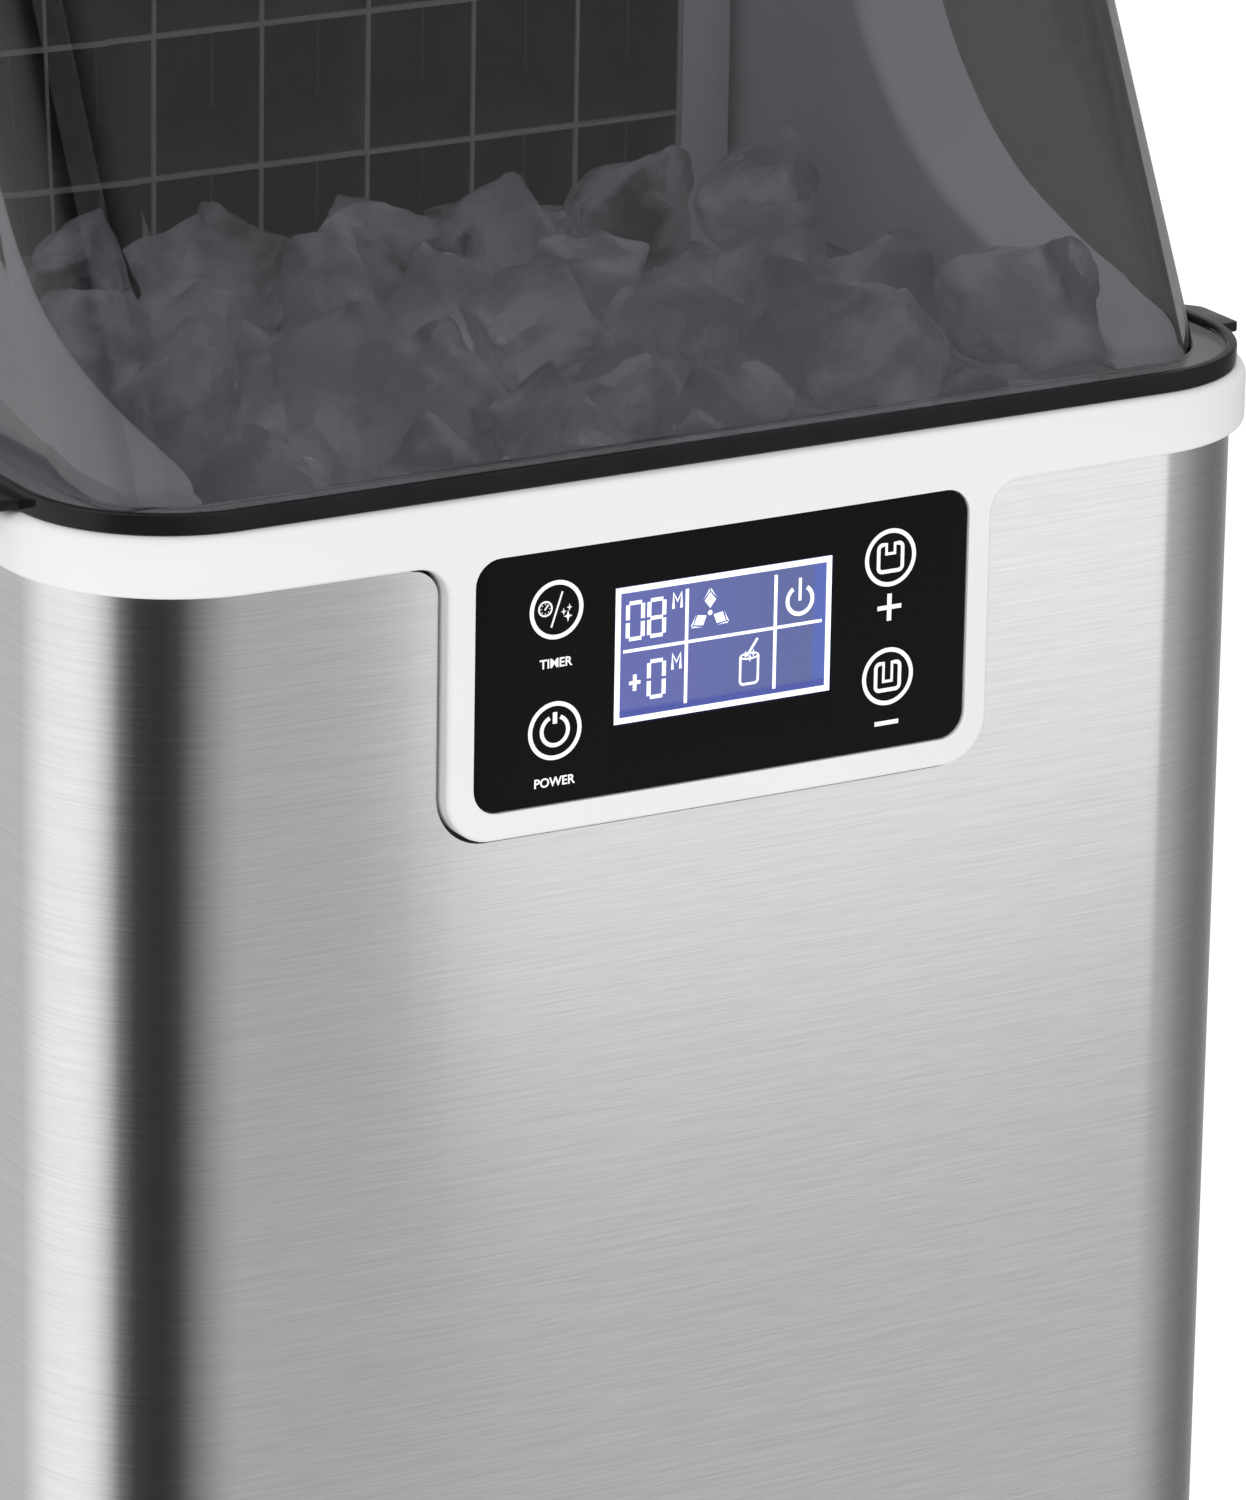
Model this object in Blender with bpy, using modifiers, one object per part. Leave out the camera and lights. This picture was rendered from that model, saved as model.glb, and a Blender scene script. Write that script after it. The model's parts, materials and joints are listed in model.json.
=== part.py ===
"""Free-standing ice maker: stainless body, white collar with the control panel, smoked lid over the ice bin.

Units are metres. +Z is up and the front faces -Y. The origin is the middle of the footprint, on the floor.
Each shape is made as a hidden helper in world space. part() turns a helper into a sub-part.
"""
import math

import bmesh
import bpy
from mathutils import Matrix, Vector

# Body
BODY_WIDTH = 0.360
BODY_DEPTH = 0.364
FRONT = -0.186
REAR = FRONT + BODY_DEPTH
CORNER_RADIUS = 0.043
FRONT_BOW_RADIUS = 4.75
SHEET = 0.001
WRAP_BOTTOM = 0.018
SEAM_HEIGHT = 0.600
LOUVRE_ROWS = 8
GAP = 0.0003

# Collar and control panel
COLLAR_PROUD = 0.004
COLLAR_TOP = 0.616
TAB_HALF_WIDTH = 0.082
TAB_BOTTOM = 0.524
TAB_RADIUS = 0.013
TAB_FILLET = 0.009
TAB_PROUD = 0.0032
OVERLAY_HALF_WIDTH = 0.0743
OVERLAY_LOW = 0.5319
OVERLAY_HIGH = 0.6001
OVERLAY_RADIUS = 0.007
OVERLAY_THICKNESS = 0.0015
DISPLAY_HALF_WIDTH = 0.0327
DISPLAY_LOW = 0.5503
DISPLAY_HIGH = 0.5872

# Bin and side mouldings
BIN_HALF_WIDTH = 0.138
BIN_FRONT = FRONT + 0.022
BIN_REAR = FRONT + 0.212
BIN_FLOOR = 0.270
LINER_WALL = 0.0025
CHEEK_OUT = 0.1653
CHEEK_TOP = 0.7965
DECK_TOP = 0.235

# Lid
LID_HALF_WIDTH = 0.170
LID_TOP = 0.800
LID_FOOT = 0.6206
LID_FOOT_FRONT = FRONT + 0.015
LID_LEAN = math.radians(27)
LID_REAR = FRONT + 0.243
LID_WALL = 0.0028
LID_CORNER = 0.028
LID_EDGE = 0.010
RIM_HALF_WIDTH = 0.181
RIM_FRONT = FRONT + 0.002
RIM_CORNER = 0.0415
RIM_BOTTOM = COLLAR_TOP + GAP
FINGER_TAB_REACH = 0.190
HINGE_DEPTH = FRONT + 0.236
HINGE_HEIGHT = 0.792
HINGE_PIN_RADIUS = 0.0025

# Rear housing and evaporator
HOUSING_FRONT = FRONT + 0.250
HOUSING_TOP = 0.7897
HOUSING_WALL = 0.003
COVER_TOP = 0.793
GRID_FRONT = FRONT + 0.220
CELL_DEPTH = 0.028
CELL_COLUMNS = 7
CELL_ROWS = 4
COLUMN_PITCH = 0.0334
ROW_PITCH = 0.040
GRID_LOW = 0.606
FIN = 0.0012
FIN_SLOPE = math.radians(20)
COIL_DEPTH = FRONT + 0.2555
COIL_PASSES = 6
COIL_RADIUS = 0.004

# Refrigeration and water
COMPRESSOR_X = -0.070
COMPRESSOR_Y = FRONT + 0.225
COMPRESSOR_RADIUS = 0.062
FAN_X = 0.105
FAN_Y = FRONT + 0.150
FAN_HEIGHT = 0.130
FAN_RADIUS = 0.066
CORE_HALF = 0.085
DISTRIBUTOR_Y = FRONT + 0.229
DISTRIBUTOR_HEIGHT = 0.7816
PUMP_X = 0.095
PUMP_Y = FRONT + 0.300
FLOAT_X = -0.100
FLOAT_PIVOT_Y = FRONT + 0.252
FLOAT_PIVOT_Z = 0.5905
DRAIN_X = 0.060
DRAIN_HEIGHT = 0.278
INLET_X = 0.110
INLET_HEIGHT = 0.320
GLAND_X = -0.120
GLAND_HEIGHT = 0.255
PROBE_Y = FRONT + 0.120
PROBE_HEIGHT = 0.560
REAR_REACH = FRONT + 0.376
FOOT_X = 0.145
FOOT_DEPTHS = (FRONT + 0.045, FRONT + 0.325)

X_AXIS = Vector((1, 0, 0))
Y_AXIS = Vector((0, 1, 0))
Z_AXIS = Vector((0, 0, 1))


# ---------------------------------------------------------------- scene and materials

def clear_scene():
    for obj in list(bpy.data.objects):
        bpy.data.objects.remove(obj, do_unlink=True)


def new_collection(name):
    made = bpy.data.collections.new(name)
    bpy.context.scene.collection.children.link(made)
    return made


def new_material(name, colour, roughness, metallic=0.0, alpha=1.0):
    made = bpy.data.materials.new(name)
    made.use_nodes = True
    shader = made.node_tree.nodes["Principled BSDF"]
    shader.inputs["Base Color"].default_value = (*colour, 1.0)
    shader.inputs["Roughness"].default_value = roughness
    shader.inputs["Metallic"].default_value = metallic
    shader.inputs["Alpha"].default_value = alpha
    return made


clear_scene()
PARTS = new_collection("ice_maker")
HELPERS = new_collection("cutters")

STEEL = new_material("stainless", (0.62, 0.62, 0.62), 0.32, 1.0)
ZINC = new_material("galvanised", (0.55, 0.56, 0.57), 0.45, 1.0)
WHITE = new_material("white_plastic", (0.86, 0.86, 0.87), 0.35)
SMOKE = new_material("smoked_plastic", (0.03, 0.03, 0.033), 0.06, alpha=0.5)
BLACK = new_material("black_overlay", (0.006, 0.006, 0.006), 0.25)
DISPLAY = new_material("display", (0.20, 0.26, 0.75), 0.3)
BOARD = new_material("circuit_board", (0.02, 0.16, 0.06), 0.5)
FOAM = new_material("foam", (0.80, 0.68, 0.38), 0.9)
DARK_METAL = new_material("nickel_plate", (0.10, 0.10, 0.11), 0.35, 1.0)
COPPER = new_material("copper", (0.72, 0.38, 0.22), 0.3, 1.0)
BRASS = new_material("brass", (0.70, 0.52, 0.22), 0.35, 1.0)
PAINT = new_material("black_paint", (0.012, 0.012, 0.013), 0.35)
RUBBER = new_material("rubber", (0.02, 0.02, 0.02), 0.8)
FINS = new_material("aluminium_fins", (0.70, 0.71, 0.72), 0.4, 1.0)
HOSE = new_material("silicone_hose", (0.75, 0.77, 0.78), 0.4)


# ---------------------------------------------------------------- shapes

def helper(mesh):
    made = bpy.data.objects.new("shape", mesh)
    HELPERS.objects.link(made)
    made.hide_render = True
    made.display_type = "WIRE"
    return made


def part(name, shape, material, smooth=True):
    """Makes a helper a sub-part of the ice maker."""
    shape.name = name
    shape.data.name = name
    HELPERS.objects.unlink(shape)
    PARTS.objects.link(shape)
    shape.hide_render = False
    shape.display_type = "TEXTURED"
    shape.data.materials.clear()
    shape.data.materials.append(material)
    if smooth:
        shape.data.shade_smooth()
        shape.data.set_sharp_from_angle(angle=math.radians(35))
    return shape


def from_bmesh(bm):
    mesh = bpy.data.meshes.new("shape")
    bm.to_mesh(mesh)
    bm.free()
    return helper(mesh)


def box(low, high):
    low, high = Vector(low), Vector(high)
    bm = bmesh.new()
    bmesh.ops.create_cube(bm, size=1.0)
    bmesh.ops.scale(bm, vec=high - low, verts=bm.verts)
    bmesh.ops.translate(bm, vec=(low + high) / 2, verts=bm.verts)
    return from_bmesh(bm)


def rod(start, end, radius, sides=16):
    """A cylinder from one point to another."""
    start, end = Vector(start), Vector(end)
    place = Matrix.Translation((start + end) / 2) @ (end - start).to_track_quat("Z", "Y").to_matrix().to_4x4()
    bm = bmesh.new()
    bmesh.ops.create_cone(bm, cap_ends=True, segments=sides, radius1=radius, radius2=radius,
                          depth=(end - start).length, matrix=place)
    return from_bmesh(bm)


def meshed(data, place):
    """The closed mesh that a curve evaluates to, put where place says."""
    source = bpy.data.objects.new("curve", data)
    HELPERS.objects.link(source)
    bpy.context.view_layer.update()
    graph = bpy.context.evaluated_depsgraph_get()
    mesh = bpy.data.meshes.new_from_object(source.evaluated_get(graph))
    bpy.data.objects.remove(source)
    bm = bmesh.new()
    bm.from_mesh(mesh)
    bpy.data.meshes.remove(mesh)
    bmesh.ops.remove_doubles(bm, verts=bm.verts, dist=1e-6)
    bmesh.ops.dissolve_limit(bm, angle_limit=1e-4, verts=bm.verts, edges=bm.edges)
    bmesh.ops.transform(bm, matrix=place, verts=bm.verts)
    bmesh.ops.recalc_face_normals(bm, faces=bm.faces)
    return from_bmesh(bm)


def slab(outline, axis, low, high):
    """A flat outline between two planes: (x, y) points across Z, (x, z) across Y, or (y, z) across X."""
    curve = bpy.data.curves.new("outline", "CURVE")
    curve.dimensions = "2D"
    curve.fill_mode = "BOTH"
    curve.extrude = (high - low) / 2
    spline = curve.splines.new("POLY")
    spline.points.add(len(outline) - 1)
    spline.use_cyclic_u = True
    for point, (u, v) in zip(spline.points, outline):
        point.co = (u, v, 0, 1)
    turn = {
        "Z": Matrix.Identity(4),
        "Y": Matrix.Rotation(math.pi / 2, 4, "X"),
        "X": Matrix(((0, 0, 1, 0), (1, 0, 0, 0), (0, 1, 0, 0), (0, 0, 0, 1))),
    }[axis]
    shift = {"X": X_AXIS, "Y": Y_AXIS, "Z": Z_AXIS}[axis] * (low + high) / 2
    return meshed(curve, Matrix.Translation(shift) @ turn)


def tube(points, radius, sides=2, smooth_steps=1):
    """A bent pipe with closed ends. A smooth curve gives smooth_steps points between each two given."""
    route = [Vector(point) for point in points]
    if smooth_steps > 1:
        route = smooth_route(route, smooth_steps)
    curve = bpy.data.curves.new("pipe", "CURVE")
    curve.dimensions = "3D"
    curve.bevel_depth = radius
    curve.bevel_resolution = sides
    curve.use_fill_caps = True
    spline = curve.splines.new("POLY")
    spline.points.add(len(route) - 1)
    for point, place in zip(spline.points, route):
        point.co = (*place, 1)
    return meshed(curve, Matrix.Identity(4))


def smooth_route(route, steps):
    """Points on the smooth curve through the given ones."""
    ends = [route[0] * 2 - route[1], *route, route[-1] * 2 - route[-2]]
    found = []
    for before, start, end, after in zip(ends, ends[1:], ends[2:], ends[3:]):
        for step in range(steps):
            t = step / steps
            found.append(0.5 * (2 * start + (end - before) * t
                                + (2 * before - 5 * start + 4 * end - after) * t * t
                                + (3 * start - before - 3 * end + after) * t ** 3))
    return [*found, route[-1]]


def turned(profile, centre, axis=Z_AXIS, sides=24):
    """A turned shape. The profile's (radius, height) points run down its outer side, top to bottom."""
    mesh = bpy.data.meshes.new("profile")
    points = [(radius, 0, height) for radius, height in profile]
    mesh.from_pydata(points, [(i, i + 1) for i in range(len(points) - 1)], [])
    made = helper(mesh)
    screw = made.modifiers.new("turn", "SCREW")
    screw.steps = sides
    screw.render_steps = sides
    screw.use_merge_vertices = True
    screw.merge_threshold = 1e-5
    made.matrix_world = Matrix.Translation(centre) @ Vector(axis).to_track_quat("Z", "Y").to_matrix().to_4x4()
    return applied(made)


def applied(obj):
    """The object's evaluated mesh, in world space."""
    bpy.context.view_layer.update()
    graph = bpy.context.evaluated_depsgraph_get()
    mesh = bpy.data.meshes.new_from_object(obj.evaluated_get(graph))
    mesh.transform(obj.matrix_world)
    bpy.data.objects.remove(obj)
    return helper(mesh)


def boolean(target, operation, tools):
    for tool in tools:
        modifier = target.modifiers.new(operation.lower(), "BOOLEAN")
        modifier.operation = operation
        modifier.solver = "EXACT"
        modifier.object = tool
    return target


def cut(target, *tools):
    return boolean(target, "DIFFERENCE", tools)


def join(target, *tools):
    return boolean(target, "UNION", tools)


def common(target, *tools):
    return boolean(target, "INTERSECT", tools)


def gathered(shapes):
    """Several shapes that don't meet, as one cutter."""
    bm = bmesh.new()
    for shape in shapes:
        bm.from_mesh(shape.data)
        bpy.data.objects.remove(shape)
    return from_bmesh(bm)


def round_edges(shape, chosen, radius, steps):
    bm = bmesh.new()
    bm.from_mesh(shape.data)
    edges = [edge for edge in bm.edges if chosen(*(vert.co for vert in edge.verts))]
    bmesh.ops.bevel(bm, geom=edges, offset=radius, offset_type="OFFSET", segments=steps, profile=0.5,
                    affect="EDGES", clamp_overlap=True)
    bm.to_mesh(shape.data)
    bm.free()
    return shape


def flat_at(height):
    """Chooses the edges that lie at a height."""
    return lambda a, b: abs(a.z - height) < 1e-5 and abs(b.z - height) < 1e-5


def arc(centre, radius, start, end, steps):
    """Points along an arc, angles in degrees."""
    angles = [math.radians(start + (end - start) * i / steps) for i in range(steps + 1)]
    return [(centre[0] + radius * math.cos(angle), centre[1] + radius * math.sin(angle)) for angle in angles]


def rounded_rectangle(low, high, radius, steps=4):
    (left, bottom), (right, top) = low, high
    return (
        arc((left + radius, bottom + radius), radius, 180, 270, steps)
        + arc((right - radius, bottom + radius), radius, 270, 360, steps)
        + arc((right - radius, top - radius), radius, 0, 90, steps)
        + arc((left + radius, top - radius), radius, 90, 180, steps)
    )


def on_axis(obj, name, place):
    """Parents a moving piece to an empty on its joint's axis."""
    axis = bpy.data.objects.new(name, None)
    axis.location = place
    axis.empty_display_size = 0.02
    PARTS.objects.link(axis)
    bpy.context.view_layer.update()
    obj.parent = axis
    obj.matrix_parent_inverse = axis.matrix_world.inverted()


# ---------------------------------------------------------------- outlines of the body

def bow(x):
    """How far the bowed front stands back from its middle."""
    return x * x / (2 * FRONT_BOW_RADIUS)


def front_edge(inset, corner_steps=7, bow_steps=8):
    """The body's front from the left side round to the right side, moved inwards by inset."""
    reach = BODY_WIDTH / 2 - CORNER_RADIUS
    radius = CORNER_RADIUS - inset
    centre_y = FRONT + bow(reach) + CORNER_RADIUS
    left = arc((-reach, centre_y), radius, 180, 270, corner_steps)
    right = arc((reach, centre_y), radius, 270, 360, corner_steps)
    front = [(-reach + 2 * reach * i / bow_steps) for i in range(1, bow_steps)]
    return left + [(x, FRONT + inset + bow(x)) for x in front] + right


def body_outline(inset, rear, rear_radius=0.006):
    side = BODY_WIDTH / 2 - inset
    return (
        front_edge(inset)
        + arc((side - rear_radius, rear - rear_radius), rear_radius, 0, 90, 3)
        + arc((-side + rear_radius, rear - rear_radius), rear_radius, 90, 180, 3)
    )


def bowed_plate(outline, front, back):
    """A plate that follows the bowed front: front and back are distances behind the body's face."""
    xs = [-0.1 + 0.2 * i / 12 for i in range(13)]
    plan = [(x, FRONT + front + bow(x)) for x in xs] + [(x, FRONT + back + bow(x)) for x in reversed(xs)]
    blank = slab(outline, "Y", FRONT - 0.02, FRONT + 0.03)
    return common(blank, slab(plan, "Z", 0.50, 0.63))


def tab_outline(grow, top):
    """The drop tab with its fillets into the collar. grow widens it for the notch in the steel."""
    centre_x = TAB_HALF_WIDTH + TAB_FILLET
    fillet_z = SEAM_HEIGHT - TAB_FILLET
    low = TAB_BOTTOM + TAB_RADIUS
    side = TAB_HALF_WIDTH - TAB_RADIUS
    left = arc((-centre_x, fillet_z), TAB_FILLET - grow, 90, 0, 3)
    right = arc((centre_x, fillet_z), TAB_FILLET - grow, 180, 90, 3)
    return (
        [(-centre_x, top)]
        + left
        + arc((-side, low), TAB_RADIUS + grow, 180, 270, 5)
        + arc((side, low), TAB_RADIUS + grow, 270, 360, 5)
        + right
        + [(centre_x, top)]
    )


def slots(low, high, rows, slot_height, across):
    """Louvre cutters: rows of boxes across X or Y, between two corners of a rectangle."""
    made = []
    pitch = (high[2] - low[2]) / rows
    for row in range(rows):
        bottom = low[2] + pitch * row
        start = Vector((low[0], low[1], bottom))
        end = Vector((high[0], high[1], bottom + slot_height))
        margin = (X_AXIS if across == "X" else Y_AXIS) * 0.004
        made.append(box(start - margin, end + margin))
    return made


# ---------------------------------------------------------------- body

def outer_wrap():
    side = BODY_WIDTH / 2
    fold = 0.015
    outer = [(-side + fold, REAR), (-side, REAR)] + front_edge(0) + [(side, REAR), (side - fold, REAR)]
    inner_back = REAR - SHEET
    inner = [(-side + fold, inner_back), (-side + SHEET, inner_back)] + front_edge(SHEET)
    inner += [(side - SHEET, inner_back), (side - fold, inner_back)]
    sheet = slab(outer + inner[::-1], "Z", WRAP_BOTTOM, SEAM_HEIGHT - GAP)
    cut(sheet, slab(tab_outline(0.0012, 0.61), "Y", FRONT - 0.01, FRONT + 0.02))
    louvres = []
    for x in (-side, side):
        louvres += slots((x, FAN_Y - 0.065, 0.060), (x, FAN_Y + 0.065, 0.200), LOUVRE_ROWS, 0.006, "X")
    cut(sheet, gathered(louvres + screw_holes(REAR - 0.01, REAR + 0.01)))
    part("outer_wrap", sheet, STEEL)


def base_pan():
    clearance = SHEET + 0.0004
    wall = 0.0012
    tray = slab(body_outline(clearance, REAR - 0.0015), "Z", 0.015, 0.035)
    cut(tray, slab(body_outline(clearance + wall, REAR - 0.0015 - wall), "Z", 0.0162, 0.04))
    holes = [rod((x, y, 0.01), (x, y, 0.02), 0.0046) for x in (-FOOT_X, FOOT_X) for y in FOOT_DEPTHS]
    cut(tray, gathered(holes))
    part("base_pan", tray, ZINC)


def mid_deck():
    sheet = 0.002
    side = 0.1765
    outline = rounded_rectangle((-side, FRONT + 0.046), (side, REAR - 0.004), 0.004, 1)
    deck = slab(outline, "Z", DECK_TOP - sheet, DECK_TOP)
    for x in (-side, side - sheet):
        join(deck, box((x, FRONT + 0.055, DECK_TOP - 0.018), (x + sheet, REAR - 0.010, DECK_TOP - 0.0005)))
    cut(deck, box((-0.150, FRONT + 0.275, DECK_TOP - 0.01), (0.030, REAR - 0.016, DECK_TOP + 0.01)))
    part("mid_deck", deck, ZINC)


def back_panel():
    low_y, high_y = REAR + GAP, REAR + 0.002
    half = BODY_WIDTH / 2 - SHEET - 0.0005
    face = rounded_rectangle((-half, 0.022), (half, SEAM_HEIGHT - 0.001), 0.004, 2)
    panel = slab(face, "Y", low_y, high_y)
    louvres = []
    for left in (-0.140, 0.010):
        louvres += slots((left, REAR, 0.060), (left + 0.120, REAR, 0.200), LOUVRE_ROWS, 0.006, "Y")
    cut(panel, gathered(louvres))
    ports = [
        (DRAIN_X, DRAIN_HEIGHT, 0.0087),
        (INLET_X, INLET_HEIGHT, 0.0118),
        (GLAND_X, GLAND_HEIGHT, 0.0088),
    ]
    holes = [rod((x, low_y - 0.01, z), (x, high_y + 0.01, z), radius) for x, z, radius in ports]
    cut(panel, gathered(holes + screw_holes(low_y - 0.01, high_y + 0.01)))
    part("back_panel", panel, ZINC)


def screw_holes(low_y, high_y):
    return [rod((x, low_y, z), (x, high_y, z), 0.0024, sides=8) for x, z in back_screw_places()]


def back_screw_places():
    return [(x, z) for z in (0.045, 0.575) for x in (-0.1715, 0.1715)]


def screws():
    profile = [(0, 0.0018), (0.0020, 0.0018), (0.0036, 0.0010), (0.0040, 0), (0.0019, 0), (0.0019, -0.0035),
               (0, -0.0035)]
    for number, (x, z) in enumerate(back_screw_places()):
        place = (x, REAR + 0.0023, z)
        part(f"panel_screw_{number + 1}", turned(profile, place, Y_AXIS, 8), ZINC)


def levelling_feet():
    profile = [(0, 0.032), (0.0040, 0.032), (0.0040, 0.0147), (0.0100, 0.0147), (0.0100, 0.0090),
               (0.0150, 0.0065),
               (0.0160, 0.0045), (0.0160, 0.0010), (0.0150, 0), (0, 0)]
    names = [f"levelling_foot_{end}_{side}" for end in ("front", "rear") for side in ("left", "right")]
    places = [(x, y, 0) for y in FOOT_DEPTHS for x in (-FOOT_X, FOOT_X)]
    for name, place in zip(names, places):
        on_axis(part(name, turned(profile, place, sides=12), RUBBER), name + "_axis", place)


# ---------------------------------------------------------------- collar and control panel

def collar():
    ring = slab(body_outline(-COLLAR_PROUD, REAR, 0.010), "Z", SEAM_HEIGHT, COLLAR_TOP)
    round_edges(ring, flat_at(COLLAR_TOP), 0.0034, 2)
    round_edges(ring, flat_at(SEAM_HEIGHT), 0.0039, 2)
    join(ring, bowed_plate(tab_outline(0, 0.606), -TAB_PROUD, 0.004))
    wide, narrow = 0.160, BIN_HALF_WIDTH + GAP
    step, back = FRONT + 0.240, REAR - 0.013
    opening = [(-narrow, BIN_FRONT - GAP), (narrow, BIN_FRONT - GAP), (narrow, step), (wide, step),
               (wide, back),
               (-wide, back), (-wide, step), (-narrow, step)]
    cut(ring, slab(opening, "Z", 0.58, 0.63))
    recess = rounded_rectangle((-OVERLAY_HALF_WIDTH - GAP, OVERLAY_LOW - GAP),
                               (OVERLAY_HALF_WIDTH + GAP, OVERLAY_HIGH + GAP), OVERLAY_RADIUS + GAP)
    cut(ring, bowed_plate(recess, -0.012, OVERLAY_THICKNESS + GAP - TAB_PROUD))
    cut(ring, box((-0.062, FRONT - 0.01, 0.5465), (0.062, FRONT + 0.010, 0.5915)))
    part("collar", ring, WHITE)


def panel_overlay():
    low, high = (-OVERLAY_HALF_WIDTH, OVERLAY_LOW), (OVERLAY_HALF_WIDTH, OVERLAY_HIGH)
    face = rounded_rectangle(low, high, OVERLAY_RADIUS)
    film = bowed_plate(face, -TAB_PROUD - 0.0002, OVERLAY_THICKNESS - 0.0002 - TAB_PROUD)
    window = GAP + DISPLAY_HALF_WIDTH
    cut(film, box((-window, FRONT - 0.02, DISPLAY_LOW - GAP), (window, FRONT + 0.02, DISPLAY_HIGH + GAP)))
    part("panel_overlay", film, BLACK)


def lcd_module():
    glass = box((-DISPLAY_HALF_WIDTH, FRONT - TAB_PROUD + 0.0002, DISPLAY_LOW),
                (DISPLAY_HALF_WIDTH, FRONT + 0.0045, DISPLAY_HIGH))
    outline = rounded_rectangle((-0.038, 0.5478), (0.038, 0.5898), 0.002, 2)
    frame = slab(outline, "Y", FRONT - 0.0008, FRONT + 0.0045)
    part("lcd_module", join(glass, frame), DISPLAY)


def control_board():
    back = FRONT + 0.0088
    board = slab(rounded_rectangle((-0.070, 0.528), (0.070, 0.596), 0.003, 2), "Y", FRONT + 0.0072, back)
    for x, z in ((-0.045, 0.548), (0.012, 0.560), (0.048, 0.580)):
        join(board, box((x - 0.008, back - 0.0005, z - 0.006), (x + 0.008, back + 0.003, z + 0.006)))
    part("control_board", board, BOARD)


# ---------------------------------------------------------------- lid

def lid_block(inset, low, rear):
    """The lid's wedge: a leaning front, upright sides and a flat top, all moved in by inset."""
    half = LID_HALF_WIDTH - inset
    top = LID_TOP - inset
    slope = math.tan(LID_LEAN)

    def front_at(height):
        return LID_FOOT_FRONT + inset / math.cos(LID_LEAN) + (height - LID_FOOT) * slope

    side_view = [(front_at(low), low), (rear, low), (rear, top), (front_at(top), top)]
    wedge = slab(side_view, "X", -half, half)
    leaning = front_at(top) - front_at(low)
    round_edges(wedge, lambda a, b: abs(abs(a.y - b.y) - leaning) < 1e-5 and abs(a.x - b.x) < 1e-5,
                LID_CORNER - inset, 5)
    edge = LID_EDGE - inset
    return round_edges(wedge, lambda a, b: flat_at(top)(a, b) and min(a.y, b.y) < rear - 0.001, edge, 3)


def rim_outline():
    rear_y = LID_REAR
    return (
        [(-RIM_HALF_WIDTH, rear_y)]
        + arc((-RIM_HALF_WIDTH + RIM_CORNER, RIM_FRONT + RIM_CORNER), RIM_CORNER, 180, 270, 7)
        + arc((RIM_HALF_WIDTH - RIM_CORNER, RIM_FRONT + RIM_CORNER), RIM_CORNER, 270, 360, 7)
        + [(RIM_HALF_WIDTH, rear_y)]
    )


def lid():
    shell = lid_block(0, RIM_BOTTOM + 0.001, LID_REAR)
    join(shell, slab(rim_outline(), "Z", RIM_BOTTOM, LID_FOOT + 0.0002))
    for side in (-1, 1):
        end = FINGER_TAB_REACH
        wing = [(0.176, 0.042), (0.188, 0.042), (end, 0.044), (end, 0.060), (0.176, 0.078)]
        outline = [(side * x, FRONT + y) for x, y in wing]
        join(shell, slab(outline, "Z", RIM_BOTTOM + 0.0004, RIM_BOTTOM + 0.0031))
    cut(shell, lid_block(LID_WALL, 0.600, LID_REAR + 0.02))
    reach = LID_HALF_WIDTH + 0.01
    bore = HINGE_PIN_RADIUS + GAP
    cut(shell, rod((-reach, HINGE_DEPTH, HINGE_HEIGHT), (reach, HINGE_DEPTH, HINGE_HEIGHT), bore))
    cut(shell, ear_cutter(), panel_tail())
    on_axis(part("lid", shell, SMOKE), "lid_axis", (0, HINGE_DEPTH, HINGE_HEIGHT))


def panel_tail():
    """Ends the top panel above the hinge pins, so that it doesn't swing into what is behind them."""
    half = LID_HALF_WIDTH - LID_WALL
    return box((-half, HINGE_DEPTH, HINGE_HEIGHT), (half, LID_REAR + 0.01, LID_TOP + 0.01))


def ear_cutter():
    """Rounds the lid's upper rear corners about the hinge, so that they clear the housing as it opens."""
    radius = LID_TOP - HINGE_HEIGHT
    top, rear = LID_TOP + 0.005, LID_REAR + 0.005
    curve = arc((HINGE_DEPTH, HINGE_HEIGHT), radius, 90, 0, 4)
    foot = HINGE_HEIGHT - 0.006
    corner = [(HINGE_DEPTH, top), *curve, (LID_REAR, foot), (rear, foot), (rear, top)]
    return slab(corner, "X", -0.2, 0.2)


def hinge_pins():
    for name, side in (("hinge_pin_left", -1), ("hinge_pin_right", 1)):
        centre = (side * (LID_HALF_WIDTH + GAP), HINGE_DEPTH, HINGE_HEIGHT)
        profile = [(0, 0.0020), (0.0042, 0.0020), (0.0050, 0.0012), (0.0050, 0), (HINGE_PIN_RADIUS, 0),
                   (HINGE_PIN_RADIUS, -0.020), (0, -0.020)]
        part(name, turned(profile, centre, X_AXIS * side, 16), STEEL)


# ---------------------------------------------------------------- upper housing

def cheek_profile():
    """The swept front edge, low at the front corner of the bin and upright at the evaporator."""
    sweep = [(0.026, 0.6165), (0.031, 0.6228), (0.060, 0.6293), (0.085, 0.6352), (0.110, 0.6437),
             (0.125, 0.6515),
             (0.138, 0.6612), (0.151, 0.6745), (0.160, 0.6875), (0.166, 0.7020), (0.1705, 0.7220),
             (0.173, 0.7500),
             (0.1745, CHEEK_TOP)]
    return [(FRONT + y, z) for y, z in sweep]


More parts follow.
